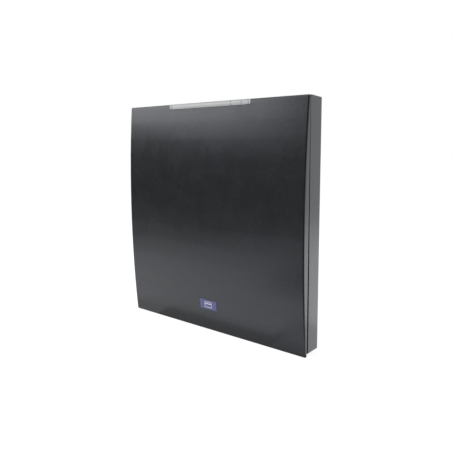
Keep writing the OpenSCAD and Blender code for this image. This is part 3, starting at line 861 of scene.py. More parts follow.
    def round_edges(self, width: float, test: Callable | None = None, segments: int = 2) -> "Piece":
        """Rounds edges.

        Args:
            width: How wide the rounding is.
            test: Picks edges by their two ends. A modifier takes all sharp ones if left out.
            segments: Facets across it.

        Returns:
            The piece itself.
        """
        if test:
            with self.picked(test, Pick.EDGE):
                bpy.ops.mesh.bevel(offset=width, segments=segments, affect="EDGES",
                                   clamp_overlap=False, loop_slide=False)
            return self
        self.modifier("BEVEL", width=width, segments=segments, limit_method="ANGLE",
                      angle_limit=SHARP, use_clamp_overlap=False, loop_slide=False)
        return self._closed()

    def modifier(self, kind: str, **settings: object) -> "Piece":
        """Adds a modifier and applies it.

        Args:
            kind: Its type.
            settings: Its properties.

        Returns:
            The piece itself.
        """
        self._to_front()
        made = self.obj.modifiers.new(kind, kind)
        for name, value in settings.items():
            setattr(made, name, value)
        bpy.ops.object.modifier_apply(modifier=made.name)
        return self

    def cut(self, tool: "Piece") -> "Piece":
        """Takes another piece away from this one.

        Args:
            tool: The other piece, used up by the cut.

        Returns:
            The piece itself.
        """
        self.modifier("BOOLEAN", object=tool.obj, operation="DIFFERENCE", solver="EXACT")
        bpy.data.objects.remove(tool.obj)
        return self

    def join(self, *others: "Piece") -> "Piece":
        """Takes other pieces into this one.

        Args:
            others: The other pieces.

        Returns:
            The piece itself.
        """
        self._to_front()
        for other in others:
            other.obj.select_set(True)
        if others:
            bpy.ops.object.join()
        return self

    def repeated(self, transforms: Iterable[Matrix]) -> "Piece":
        """Puts joined copies of the piece in its place.

        Args:
            transforms: Where each copy goes.

        Returns:
            The piece itself.
        """
        copies = []
        for transform in transforms:
            copies.append(self._linked(self.obj.name, self.obj.data.copy()))
            copies[-1].obj.matrix_world = transform
        name = self.obj.name
        bpy.data.objects.remove(self.obj)
        self.obj = copies[0].obj
        self.obj.name = name
        return self.join(*copies[1:])._settled()

    def at_each(self, boxes: Sequence[Box]) -> "Piece":
        """Copies of a piece made for the first box, one for each box."""
        return self.repeated(Matrix.Translation(middle(box) - middle(boxes[0])) for box in boxes)

    def done(self, body: Body, finish: Finish, *replaces: str) -> bpy.types.Object:
        """Dresses the piece and mounts it on its body.

        Args:
            body: The body that carries it.
            finish: Its finish.
            replaces: CAD nodes that it stands for.

        Returns:
            The finished object.
        """
        self._to_front()
        bpy.ops.object.shade_smooth_by_angle(angle=SMOOTH)
        self.modifier("WEIGHTED_NORMAL", keep_sharp=True)
        self.obj.data.materials.clear()
        self.obj.data.materials.append(finish.material())
        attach(self.obj, body.value)
        if replaces:
            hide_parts(*replaces)
        log.info("%s rides on %s, %d faces", self.obj.name, body.value, len(self.obj.data.polygons))
        return self.obj


def solids(node: str) -> list[Box]:
    """Finds the separate solids of a CAD node.

    Args:
        node: The CAD node.

    Returns:
        Their boxes, from left to right.
    """
    before = set(bpy.data.objects)
    with Piece.copy_of("solid", node).picked():
        bpy.ops.mesh.separate(type="LOOSE")
    boxes = []
    for part in set(bpy.data.objects) - before:
        corners = [v.co for v in part.data.vertices]
        boxes.append(tuple(Vector(end(c[i] for c in corners) for i in range(3)) for end in (min, max)))
        bpy.data.objects.remove(part)
    return sorted(boxes, key=lambda box: tuple(round(v, 5) for v in box[0]))


def soften(name: str, node: str, body: Body, finish: Finish, width: float) -> None:
    """Stands a copy of a CAD node with soft edges of this width in its place."""
    Piece.copy_of(name, node).round_edges(width).done(body, finish, node)


def dress(node: str, finish: Finish) -> None:
    """Gives a CAD node that stays as it is a finish.

    Args:
        node: The CAD node.
        finish: Its finish.
    """
    materials = frame["nodes"][node].data.materials
    materials.clear()
    materials.append(finish.material())
    log.info("%s keeps its shape", node)


@dataclass
class Casing:
    """The two shells of the casing with what is let into them.

    Attributes:
        corner: Radius of the cover's outer edges.
        side_corner: Radius of the housing's outer corners.
        corner_steps: Facets across these edges.
        crease: Radius of the small edges.
        front_depth: How far back from the light bar's face the cover's outer edges lie at most.
        slope: Most that the housing's top and bottom slope.
        face: Most that the light bar's face reaches down.
        rim: Width of the light bar's rim.
        sink: Depth of the light bar's window below its rim.
        bar_edge: Radius of the light bar's edges.
        divisions: Where grooves divide the light bar.
        groove: Width of a groove.
        groove_depth: Depth of a groove.
        groove_reach: How far a groove reaches down at most.
        soft: Name, CAD node, body, finish and edge width of each piece that is only softened.
    """

    corner: float = 1.8 * MM
    side_corner: float = 0.9 * MM
    corner_steps: int = 3
    crease: float = 0.15 * MM
    front_depth: float = 2 * MM
    slope: float = 2.2 * MM
    face: float = 5 * MM
    rim: float = 1.3 * MM
    sink: float = 0.3 * MM
    bar_edge: float = 0.1 * MM
    divisions: tuple[float, ...] = (-66.4 * MM, 38.8 * MM, 56 * MM, 67 * MM)
    groove: float = 0.9 * MM
    groove_depth: float = 1.2 * MM
    groove_reach: float = 10 * MM
    soft: tuple[Softened, ...] = (
        ("cover_grid", "cover_ribs", Body.COVER, CASING, 0.3 * MM),
        ("badge_face", "badge_plate", Body.COVER, BADGE, 0.12 * MM),
        ("badge_card", "badge_symbol", Body.COVER, SYMBOL, 0.06 * MM),
        ("seal_cord", "rim_seal", Body.BASE, RUBBER, 0.25 * MM),
        ("pivot_pins", "hinge_pins", Body.BASE, STEEL, 0.3 * MM))

    def build(self) -> None:
        """Makes every piece of the casing."""
        self.cover()
        self.housing()
        self.light_bar()
        for row in self.soft:
            soften(*row)

    def cover(self) -> None:
        """Bulging front with soft outer edges."""
        _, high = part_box("front_cover")
        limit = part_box("light_bar")[0].y + self.front_depth

        def outer(a: Vector, b: Vector) -> bool:
            """Picks the edges round the front of the shell.

            Args:
                a: One end of an edge.
                b: Its other end.

            Returns:
                Whether it is such an edge.
            """
            rims = [abs(abs(p.x) - high.x) < NEAR or abs(abs(p.z) - high.z) < NEAR for p in (a, b)]
            level = abs(a.x - b.x) < NEAR or abs(a.z - b.z) < NEAR
            return all(rims) and level and (a.y + b.y) / 2 < limit

        piece = Piece.copy_of("cover_shell", "front_cover")
        piece.round_edges(self.corner, outer, self.corner_steps).round_edges(self.crease)
        piece.done(Body.COVER, CASING, "front_cover")

    def housing(self) -> None:
        """Tray that screws to the wall."""
        low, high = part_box("rear_housing")

        def outer(a: Vector, b: Vector) -> bool:
            """Picks the edges along an outer corner, also round the front of the top.

            Args:
                a: One end of an edge.
                b: Its other end.

            Returns:
                Whether it is such an edge.
            """
            beside = all(abs(p.x) > high.x - NEAR for p in (a, b))
            ends = all(min(high.z - p.z, p.z - low.z) < self.slope for p in (a, b))
            return beside and ends and abs(a.z - b.z) < self.slope

        piece = Piece.copy_of("housing_shell", "rear_housing")
        piece.round_edges(self.side_corner, outer, self.corner_steps).round_edges(self.crease)
        piece.done(Body.BASE, CASING, "rear_housing")

    def light_bar(self) -> None:
        """Frosted bar in the top edge, with a sunk window that grooves divide."""
        low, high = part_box("light_bar")

        def front(face: bpy.types.MeshPolygon) -> bool:
            """Whether it is the face that shows in the front of the cover."""
            return face.normal.y < -FACING and face.center.z > high.z - self.face

        piece = Piece.copy_of("light_bar_lens", "light_bar")
        with piece.picked(front):
            bpy.ops.mesh.inset(thickness=self.rim, depth=-self.sink)
        half = Vector((self.groove / 2, self.groove_depth, self.groove_reach))
        for x in self.divisions:
            piece.cut(Piece.cutter("groove", Vector((x, low.y, high.z)), half))
        piece.round_edges(self.bar_edge).done(Body.COVER, FROST, "light_bar")


@dataclass
class Fittings:
    """Screws, pillars, lock and cable entry.

    Attributes:
        head: Height of a screw head.
        dome: Half section of a head, in shares of its radius and its height.
        socket: Radius and floor of a head's hexagon socket, in the same shares.
        shank: Radius of a board screw's shank, in shares of its head's radius.
        lock_shank: The same for the lock screw.
        plain: Length of the lock screw's plain shank.
        taper: Length of the taper from the plain shank to the thread's root.
        tip: Length of the taper at the end.
        tip_radius: Radius of the end, in shares of the root's radius.
        pitch: Pitch of the lock screw's thread.
        thread: Depth of the thread.
        crest: Where the thread's crest starts and ends and its far flank ends, in pitches.
        buried: How far the thread goes into the core.
        start: Where the thread starts, from the seat.
        bare: Length of the screw that has no thread.
        flange: Radius of the grommet's flange at the wall.
        lip: Radius of its flange inside.
        neck: Radius of its neck between the flanges.
        bore: Radius of its bore.
        flange_deep: Thickness of the flange at the wall.
        lip_deep: Thickness of the flange inside.
        roll: Radius of the rolled edges in sight.
        ease: Radius of the edges next to the neck.
        mouth: Radius and depth of each point of the ring grooves in its mouth, in millimetres.
        ring_steps: Facets round the grommet.
        clip_edge: Radius of the edges of the lock screw's clip.
        pillar_edge: Radius of the edges of the board's pillars.
    """

    head: float = 1.8 * MM
    dome: Profile = ((0, 0), (1, 0), (1, 0.3), (0.93, 0.6), (0.78, 0.85), (0.6, 1), (0, 1))
    socket: tuple[float, float] = (0.48, 0.35)
    shank: float = 0.5
    lock_shank: float = 0.515
    plain: float = 2 * MM
    taper: float = 0.4 * MM
    tip: float = 0.5 * MM
    tip_radius: float = 0.6
    pitch: float = 0.7 * MM
    thread: float = 0.3 * MM
    crest: tuple[float, float, float] = (0.42, 0.58, 0.98)
    buried: float = 0.05 * MM
    start: float = 2.2 * MM
    bare: float = 3.6 * MM
    flange: float = 12.4 * MM
    lip: float = 11.4 * MM
    neck: float = 9 * MM
    bore: float = 5 * MM
    flange_deep: float = 1.4 * MM
    lip_deep: float = 1.5 * MM
    roll: float = 0.5 * MM
    ease: float = 0.4 * MM
    mouth: Profile = ((8, 0), (7.6, 0.4), (7.2, 0), (6.4, 0), (6, 0.4))
    ring_steps: int = 56
    clip_edge: float = 0.12 * MM
    pillar_edge: float = 0.25 * MM

    def build(self) -> None:
        """Makes every fitting."""
        for node in ("main_board_screws", "antenna_screws", "led_board_screws"):
            self.screws(node)
        self.lock()
        self.grommet()
        soften("board_pillars", "standoffs", Body.BASE, BRASS, self.pillar_edge)
        dress("lock_insert", BRASS)

    def button(self, name: str, seat: Vector, axis: Vector, radius: float) -> Piece:
        """Domed head with a hexagon socket.

        Args:
            name: Name of the piece.
            seat: Middle of the head's seat.
            axis: From the seat to the top of the head.
            radius: Radius of the head.

        Returns:
            The head.
        """
        profile = [(radius * out, self.head * up) for out, up in self.dome]
        wide, floor = self.socket
        bottom, above = seat + axis * floor * self.head, seat + axis * 2 * self.head
        socket = Piece.rod("socket", bottom, above, wide * radius, sides=6)
        return Piece.turned(name, profile, seat, axis).cut(socket)

    def screws(self, node: str) -> None:
        """Screws that stand along Y.

        Args:
            node: Their CAD node.
        """
        boxes = solids(node)
        low, high = boxes[0]
        seat, end = (at_depth(boxes[0], y) for y in (low.y + self.head, high.y))
        radius = (high.x - low.x) / 2
        piece = self.button(node.replace("screws", "bolts"), seat, OUT, radius)
        piece.join(Piece.rod("shank", seat, end, self.shank * radius)).at_each(boxes)
        piece.done(Body.BASE, STEEL, node)

    def lock(self) -> None:
        """Captive lock screw with a real thread, and its clip."""
        low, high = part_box("lock_screw")
        at = middle((low, high))
        down = Vector((0, 0, -1))
        seat = Vector((at.x, at.y, low.z + self.head))
        length = high.z - seat.z
        radius = (high.x - low.x) / 2
        shank = self.lock_shank * radius
        root = shank - self.thread
        profile = [(0, 0), (shank, 0), (shank, self.plain), (root, self.plain + self.taper),
                   (root, length - self.tip), (self.tip_radius * root, length), (0, length)]
        piece = self.button("lock_bolt", seat, down, radius)
        core = Piece.turned("core", profile, seat, -down)
        rise, fall, foot = (share * self.pitch for share in self.crest)
        inside = root - self.buried
        section = [(inside, 0), (shank, rise), (shank, fall), (inside, foot)]
        turns = (length - self.bare) / self.pitch
        ridge = Piece.coil("ridge", section, turns, self.pitch, seat - down * self.start, -down)
        piece.join(core, ridge).done(Body.LOCK, STEEL, "lock_screw")
        soften("lock_clip", "lock_screw_clip", Body.LOCK, STEEL, self.clip_edge)

    def grommet(self) -> None:
        """Rubber grommet with rolled flanges and a ribbed mouth."""
        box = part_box("cable_grommet")
        deep = box[1].y - box[0].y
        below = deep - self.lip_deep
        start = (self.bore + self.roll, 0)
        profile = [
            start, (self.flange - self.roll, 0), (self.flange, self.ease),
            (self.flange, self.flange_deep - self.ease), (self.flange - self.ease, self.flange_deep),
            (self.neck, self.flange_deep), (self.neck, below), (self.lip - self.ease, below),
            (self.lip, below + self.ease), (self.lip, deep - self.roll), (self.lip - self.roll, deep),
            *((radius, deep - drop) for radius, drop in metres(self.mouth)),
            (self.bore + self.roll, deep), (self.bore, deep - self.roll), (self.bore, self.roll), start]
        piece = Piece.turned("grommet_ring", profile, at_depth(box, box[1].y), steps=self.ring_steps)
        piece.done(Body.BASE, RUBBER, "cable_grommet")


@dataclass
class MainBoard:
    """Main board with what stands on it.

    Attributes:
        leg: How far a chip's legs reach out.
        leg_wide: Width of a leg.
        leg_thick: Thickness of a leg.
        leg_bends: Where a leg starts, bends down and lands, out from its chip.
        chip_legs: Legs on each side of the processor.
        chip_pitch: Their pitch.
        logic_legs: Legs on two sides of a logic chip.
        logic_pitch: Their pitch.
        chip_edge: Radius of a chip's edges.
        lift: Gap between a chip and the board.
        dot: Radius of a chip's dot.
        dot_inset: From a chip's sides to the middle of its dot.
        dot_depth: Depth of the dot.
        can_foot: How far in from its radius, and how high, a can's section runs near the board,
            in millimetres.
        can_rim: How far in from its radius, and how far below its top, it runs there.
        lid: How far in from the can's radius, and how high, the section of its lid runs.
        lid_drop: From the can's top down to the foot of its lid.
        score: Half the width, depth and length of a score in the lid.
        wire: Radius of a coil's wire.
        windings: Turns of wire in sight.
        coil_core: Radius of a coil's core, in shares of its width.
        coil_rise: Where its turns start, in shares of its width.
        coil_edge: Radius of its edges.
        small: Length, height off the board and width of a small part.
        small_edge: Radius of a small part's edges.
        tinning: Thickness of the tin on its ends.
        untinned: Share of its length without tin, each way from its middle.
        rows: First place along X and Z, count, and steps along X and Z of each row of small
            parts, in millimetres.
        ink: Width and thickness of a printed line.
        clear: Gap between a part and the line round it.
        can_clear: Gap between a can and the line round it.
        pads: First place along X and Z of the test pads.
        pad_pitch: From one pad to the next.
        pad_count: How many pads there are.
        pad: Half section of a pad, in millimetres.
        pad_steps: Facets round a pad.
        soft: Name, CAD node, body, finish and edge width of each piece that is only softened.
    """

    leg: float = 0.9 * MM
    leg_wide: float = 0.34 * MM
    leg_thick: float = 0.12 * MM
    leg_bends: tuple[float, float, float] = (-0.2 * MM, 0.22 * MM, 0.42 * MM)
    chip_legs: int = 16
    chip_pitch: float = 0.72 * MM
    logic_legs: int = 8
    logic_pitch: float = 1.18 * MM
    chip_edge: float = 0.18 * MM
    lift: float = 0.15 * MM
    dot: float = 0.5 * MM
    dot_inset: float = 1.2 * MM
    dot_depth: float = 0.15 * MM
    can_foot: Profile = ((0.3, 0), (0, 0.4), (0, 1.3), (0.35, 1.7), (0.35, 2.1), (0, 2.5))
    can_rim: Profile = ((0, 0.7), (0.2, 0.2), (0.7, 0), (1.1, 0.1), (1.1, 0.5))
    lid: Profile = ((1.15, 0), (1.15, 0.25), (1.4, 0.35))
    lid_drop: float = 0.52 * MM
    score: tuple[float, float, float] = (0.12 * MM, 0.12 * MM, 2.6 * MM)
    wire: float = 0.32 * MM
    windings: int = 3
    coil_core: float = 0.35
    coil_rise: float = 1 / 3
    coil_edge: float = 0.3 * MM
    small: tuple[float, float, float] = (2.0 * MM, 0.8 * MM, 1.25 * MM)
    small_edge: float = 0.06 * MM
    tinning: float = 0.03 * MM
    untinned: float = 0.3
    rows: tuple[tuple[float, float, int, float, float], ...] = (
        (-33, -42.5, 6, 3.6, 0), (-52, -92, 4, 0, 7), (-44.5, -92, 4, 0, 7), (68, -90, 4, 3.6, 0),
        (26.2, -42.5, 8, 5.08, 0), (-82, -90, 4, 0, 6), (-75.5, -90, 4, 0, 6), (-52, -52, 1, 0, 0))
    ink: tuple[float, float] = (0.25 * MM, 0.03 * MM)
    clear: float = 0.7 * MM
    can_clear: float = 0.4 * MM
    pads: tuple[float, float] = (-38 * MM, -96.6 * MM)
    pad_pitch: float = 5 * MM
    pad_count: int = 22
    pad: Profile = ((0, 0), (0.8, 0), (0.75, 0.06), (0, 0.1))
    pad_steps: int = 20
    soft: tuple[Softened, ...] = (
        ("shield_cover", "shield_can", Body.BASE, TIN, 0.2 * MM),
        ("cooling_fins", "heat_sink", Body.BASE, ALUMINIUM, 0.25 * MM),
        ("crystal_can", "crystal", Body.BASE, TIN, 0.5 * MM),
        ("sounder_body", "sounder", Body.BASE, EPOXY, 0.3 * MM))

    @property
    def front(self) -> float:
        """Where the board's front face lies along Y."""
        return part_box("main_board")[0].y

    def build(self) -> None:
        """Makes the board's pieces."""
        dress("main_board", MASK)
        self.chips("processor", self.chip_legs, self.chip_pitch, (0, 90, 180, 270))
        self.chips("logic_chips", self.logic_legs, self.logic_pitch, (0, 180))
        self.capacitors()
        self.coils()
        self.small_parts()
        self.print_marks()
        self.test_pads()
        for row in self.soft:
            soften(*row)

    def chips(self, node: str, count: int, pitch: float, turns: Sequence[int]) -> None:
        """Chip packages with bent legs.

        Args:
            node: The CAD node of the chips.
            count: Legs on each side that has legs.
            pitch: Pitch of the legs.
            turns: Sides that have legs, as turns about the chip's middle in degrees.
        """
        boxes = solids(node)
        at, back = middle(boxes[0]), boxes[0][1].y
        inset = Vector((self.leg if len(turns) > 2 else 0, 0, self.leg))
        low, high = boxes[0][0] + inset, boxes[0][1] - inset
        top = Vector((high.x, back - self.lift, high.z))
        package = Piece.block(node + "_package", low, top).round_edges(self.chip_edge)
        dot = Vector((low.x + self.dot_inset, low.y, high.z - self.dot_inset))
        package.cut(Piece.rod("dot", dot + OUT * MM, dot - OUT * self.dot_depth, self.dot))
        package.at_each(boxes).done(Body.BASE, EPOXY, node)
        left, sole = at.x - self.leg_wide / 2, back - self.leg_thick / 2
        root, knee, ankle = (high.z + bend for bend in self.leg_bends)
        path = [(left, at.y, root), (left, at.y, knee), (left, sole, ankle),
                (left, sole, high.z + self.leg)]
        legs = Piece.strip(node + "_legs", path, (self.leg_wide, 0, 0), self.leg_thick)
        legs.repeated(about(at, turn) @ Matrix.Translation(((i - (count - 1) / 2) * pitch, 0, 0))
                      for turn in turns for i in range(count))
        legs.at_each(boxes).done(Body.BASE, SOLDER)

    def capacitors(self) -> None:
        """Sleeved cans with a crimp near the board and a scored top."""
        boxes = solids("filter_capacitors")
        foot, r, h = standing(boxes[0])
        up = [(r - inset, height) for inset, height in metres(self.can_foot)]
        over = [(r - inset, h - drop) for inset, drop in metres(self.can_rim)]
        sleeve = Piece.turned("can_sleeves", [(0, 0), *up, *over, (0, over[-1][1])], foot)
        sleeve.at_each(boxes).done(Body.BASE, SLEEVE, "filter_capacitors")
        across = [(r - inset, height) for inset, height in metres(self.lid)]
        thick = across[-1][1]
        seat = foot + OUT * (h - self.lid_drop)
        lid = Piece.turned("can_lids", [(0, 0), *across, (0, thick)], seat)
        top = seat + OUT * thick
        for turn in (45, -45):
            lid.cut(Piece.cutter("score", top, Vector(self.score)).repeated([about(top, turn)]))
        lid.at_each(boxes).done(Body.BASE, CAN_TOP)

    def coils(self) -> None:
        """Ferrite coils with their turns of enamelled wire in sight."""
        soften("coil_cores", "power_coils", Body.BASE, FERRITE, self.coil_edge)
        boxes = solids("power_coils")
        low, high = boxes[0]
        width, wire = high.x - low.x, self.wire
        inner = self.coil_core * width + NEAR
        bumps = [(inner + wire * (1 + math.cos(a)), wire * (2 * turn + 1 + math.sin(a)))
                 for turn in range(self.windings) for a in map(math.radians, range(-90, 91, 30))]
        profile = [(inner, 0), *bumps, (inner, 2 * self.windings * wire), (inner, 0)]
        foot = at_depth(boxes[0], high.y - self.coil_rise * width)
        Piece.turned("coil_turns", profile, foot).at_each(boxes).done(Body.BASE, WINDING)

    def small_parts(self) -> None:
        """Resistors and ceramic capacitors with tinned ends."""
        length, height, width = self.small
        spots = [Matrix.Translation(((x + i * dx) * MM, 0, (z + i * dz) * MM))
                 for x, z, count, dx, dz in self.rows for i in range(count)]
        half = Vector((length / 2, 0, width / 2))
        back = Vector((0, self.front, 0))
        for name, finish, first in (("resistors", EPOXY, 0), ("ceramics", CERAMIC, 1)):
            core = Piece.block(name, back - half + OUT * height, back + half)
            core.round_edges(self.small_edge).repeated(spots[first::2]).done(Body.BASE, finish)
        half += Vector((self.tinning, 0, self.tinning))
        ends = Piece.block("tinned_ends", back - half + OUT * (height + self.tinning), back + half)
        gap = Vector((self.untinned * length, 2 * length, 2 * length))
        ends.round_edges(self.small_edge).cut(Piece.cutter("gap", back, gap))
        ends.repeated(spots).done(Body.BASE, SOLDER)

    def print_marks(self) -> None:
        """Printed outlines round the larger parts."""
        line, thick = self.ink
        nodes = ("processor", "logic_chips", "crystal", "power_coils", "shield_can", "heat_sink")
        marks = []
        for low, high in (box for node in nodes for box in solids(node)):
            corner = Vector((low.x - self.clear, self.front - thick, low.z - self.clear))
            far = Vector((high.x + self.clear, self.front, high.z + self.clear))
            hole = Vector((line, -MM, line))
            mark = Piece.block("mark", corner, far)
            marks.append(mark.cut(Piece.block("hole", corner + hole, far - hole)))
        for box in solids("filter_capacitors"):
            r = standing(box)[1] + self.can_clear
            ring = [(r, 0), (r + line, 0), (r + line, thick), (r, thick), (r, 0)]
            marks.append(Piece.turned("mark", ring, at_depth(box, self.front)))
        marks[0].obj.name = "board_marks"
        marks[0].join(*marks[1:]).done(Body.BASE, INK)

    def test_pads(self) -> None:
        """Row of gold test pads."""
        x, z = self.pads
        pads = Piece.turned("test_pads", metres(self.pad), (x, self.front, z), steps=self.pad_steps)
        pads.repeated(Matrix.Translation((i * self.pad_pitch, 0, 0)) for i in range(self.pad_count))
        pads.done(Body.BASE, GOLD)


@dataclass
class Terminals:
    """Headers on the board, and the plugs that pull off them.

    Attributes:
        edge: Radius of the plastic's edges.
        head: Height of a clamp screw's head.
        neck: How far its shank is in from its head.
        bevel: Height of the bevel round its head.
        crown: Radius inside the bevel, in shares of the head's radius.
        slot: Width of its slot.
        slot_depth: Depth of its slot.
    """

    edge: float = 0.2 * MM
    head: float = 1.6 * MM
    neck: float = 0.3 * MM
    bevel: float = 0.4 * MM
    crown: float = 0.7
    slot: float = 0.7 * MM
    slot_depth: float = 0.8 * MM

    def build(self) -> None:
        """Makes headers, pins, plugs and clamp screws."""
        dress("header_pins", GOLD)
        for name, body in (("power", Body.POWER), ("data", Body.DATA)):
            soften(name + "_socket", name + "_header", Body.BASE, TERMINAL, self.edge)
            soften(name + "_block", name + "_plug", body, TERMINAL, self.edge)
            self.clamps(name, body)

    def clamps(self, name: str, body: Body) -> None:
        """Slotted clamp screws of one plug.

        Args:
            name: What the plug is for.
            body: The plug's body.
        """
        node = name + "_clamp_screws"
        boxes = solids(node)
        foot, r, h = standing(boxes[0])
        shank, seat = r - self.neck, h - self.head
        profile = [(0, 0), (shank, 0), (shank, seat), (r, seat), (r, h - self.bevel),
                   (self.crown * r, h), (0, h)]
        slot = Vector((2 * r, self.slot_depth, self.slot / 2))
        piece = Piece.turned(name + "_clamps", profile, foot)
        piece.cut(Piece.cutter("slot", foot + OUT * h, slot))
        piece.at_each(boxes).done(body, STEEL, node)


@dataclass
class AntennaRing:
    """Ring board with its copper loop, tuning capacitors and coax jumper.

    Attributes:
        cap: Width of the tinned ends of a capacitor.
        cap_edge: Radius of these ends' edges.
        core_edge: Radius of a capacitor's edges between them.
        core_inset: How far in a capacitor lies between its ends.
        bend: Bend radius of the jumper.
        coax: Radius of the jumper.
        socket: How far in from its radius, and how high, a socket's section runs near the board,
            in millimetres.
        socket_edge: Radius of a socket's top edge.
        ferrule: Radius, and height above its socket, of each point of a plug's section, in
            millimetres.
    """

    cap: float = 0.6 * MM
    cap_edge: float = 0.12 * MM
    core_edge: float = 0.1 * MM
    core_inset: tuple[float, float, float] = (0, 0.05 * MM, 0.1 * MM)
    bend: float = 4 * MM
    coax: float = 1.3 * MM
    socket: Profile = ((0, 0), (0, 0.8), (0.3, 1.0), (0.3, 1.4), (0, 1.6))
    socket_edge: float = 0.3 * MM
    ferrule: Profile = ((1.75, 0), (1.75, 1.2), (1.5, 1.5), (0, 1.5))

    def build(self) -> None:
        """Makes the ring's pieces."""
        dress("antenna_board", RING_MASK)
        dress("antenna_loop", COPPER)
        self.capacitors()
        self.jumper()

    def capacitors(self) -> None:
        """Three tuning capacitors with tinned ends."""
        boxes = solids("tuning_capacitors")
        low, high = boxes[0]
        inset = Vector(self.core_inset)
        core = Piece.block("tuning_cores", low + inset, high - inset).round_edges(self.core_edge)
        core.at_each(boxes).done(Body.BASE, CERAMIC, "tuning_capacitors")
        ends = Piece.block("tuning_ends", low, high).round_edges(self.cap_edge)
        reach = Vector((self.cap, -MM, -MM))
        ends.cut(Piece.block("gap", low + reach, high - reach))
        ends.at_each(boxes).done(Body.BASE, SOLDER)

    def jumper(self) -> None:
        """Coax jumper that arches from the main board to the ring, between two sockets."""
        boxes = solids("coax_sockets")
        foot, r, h = standing(boxes[0])
        start, end = (at_depth(box, box[0].y) for box in boxes)
        arch = OUT * self.bend
        path = bent([start, start + arch, end + arch, end], self.bend - NEAR)
        Piece.tube("coax_lead", path, self.coax).done(Body.BASE, COAX, "coax_jumper")
        profile = [(0, 0), *((r - inset, up) for inset, up in metres(self.socket)),
                   (r, h - self.socket_edge), (r - self.socket_edge, h),
                   *((radius, h + up) for radius, up in metres(self.ferrule))]
        socket = Piece.turned("coax_plugs", profile, foot)
        socket.at_each(boxes).done(Body.BASE, GOLD, "coax_sockets")


@dataclass
class LightBoard:
    """Board behind the light bar, with its LEDs and its ribbon lead.

    Attributes:
        wall: Wall of an LED's package round its dish.
        dish: Depth of the dish.
        dish_slope: How far the dish's sides slope in.
        led_edge: Radius of a package's edges.
        fill_inset: From the package's wall to the side of the phosphor.
        fill_drop: From the package's face down to the phosphor.
        fill_edge: Radius of the phosphor's edges.
        cores: Cores of the ribbon.
        core: Radius of a core, in shares of the cores' pitch.
        bend: Bend radius of the ribbon.
        path: Depth and height of each corner of the ribbon's path, in millimetres.
        plug_edge: Radius of the edges of the ribbon's plugs.
    """

    wall: float = 0.4 * MM
    dish: float = 0.35 * MM
    dish_slope: float = 0.15 * MM
    led_edge: float = 0.08 * MM
    fill_inset: float = 0.12 * MM
    fill_drop: float = 0.2 * MM
    fill_edge: float = 0.05 * MM
    cores: int = 8
    core: float = 0.52
    bend: float = 4 * MM
    path: Profile = ((-11.2, 134), (-11.2, 132.5), (-4.2, 126), (-4.2, -12), (-15.6, -19), (-15.6, -27))
    plug_edge: float = 0.25 * MM

    def build(self) -> None:
        """Makes the board's pieces."""
        dress("led_board", WHITE_MASK)
        self.leds()
        self.ribbon()
        soften("ribbon_plugs", "ribbon_sockets", Body.BASE, IVORY, self.plug_edge)

    def leds(self) -> None:
        """White packages with a dish of yellow phosphor."""
        boxes = solids("leds")
        low, high = boxes[0]
        package = Piece.block("led_packages", low, high)
        with package.picked(lambda face: face.normal.y < -FACING):
            bpy.ops.mesh.inset(thickness=self.wall, depth=0)
            bpy.ops.mesh.inset(thickness=self.dish_slope, depth=-self.dish)
        package.round_edges(self.led_edge).at_each(boxes).done(Body.BASE, PACKAGE, "leds")
        side = self.wall + self.fill_inset
        fill = Piece.block("led_fills", (low.x + side, low.y + self.fill_drop, low.z + side),
                           (high.x - side, low.y + self.dish, high.z - side))
        fill.round_edges(self.fill_edge).at_each(boxes).done(Body.BASE, PHOSPHOR)

    def ribbon(self) -> None:
        """Flat ribbon of round cores, the first one marked red."""
        low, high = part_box("ribbon_lead")
        step = (high.x - low.x) / self.cores
        for name, finish, first, count in (("ribbon_cores", RIBBON, 1, self.cores - 1),
                                           ("ribbon_first_core", RIBBON_MARK, 0, 1)):
            x = low.x + (first + 0.5) * step
            path = bent([(x, y, z) for y, z in metres(self.path)], self.bend)
            core = Piece.tube(name, path, self.core * step)
            core.repeated(Matrix.Translation((i * step, 0, 0)) for i in range(count))
            core.done(Body.BASE, finish, *(["ribbon_lead"] if count > 1 else []))


@dataclass
class Tamper:
    """Tamper switch behind the main board.

    Attributes:
        edge: Radius of the plastic's edges.
        wire: Radius of the spring's wire.
        facets: Facets round the wire.
        turns: Turns of the spring.
        travel: How far the plunger goes in. Not used.
    """

    edge: float = 0.3 * MM
    wire: float = 0.25 * MM
    facets: int = 10
    turns: float = 3.5
    travel: float = 1.8 * MM

    def build(self) -> None:
        """Makes switch, plunger and spring."""
        soften("switch_body", "tamper_switch", Body.BASE, EPOXY, self.edge)
        soften("plunger_pin", "tamper_plunger", Body.PLUNGER, IVORY, self.edge)
        low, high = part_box("tamper_spring")
        radius = (high.z - low.z) / 2 - self.wire
        rise = high.y - low.y - 2 * self.wire
        section = [(radius + self.wire * math.cos(a), self.wire * math.sin(a))
                   for a in (math.tau * i / self.facets for i in range(self.facets))]
        foot = at_depth((low, high), low.y + self.wire)
        spring = Piece.coil("spring_coil", section, self.turns, rise / self.turns, foot, -OUT)
        obj = spring.done(Body.BASE, STEEL, "tamper_spring")
        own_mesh(obj)


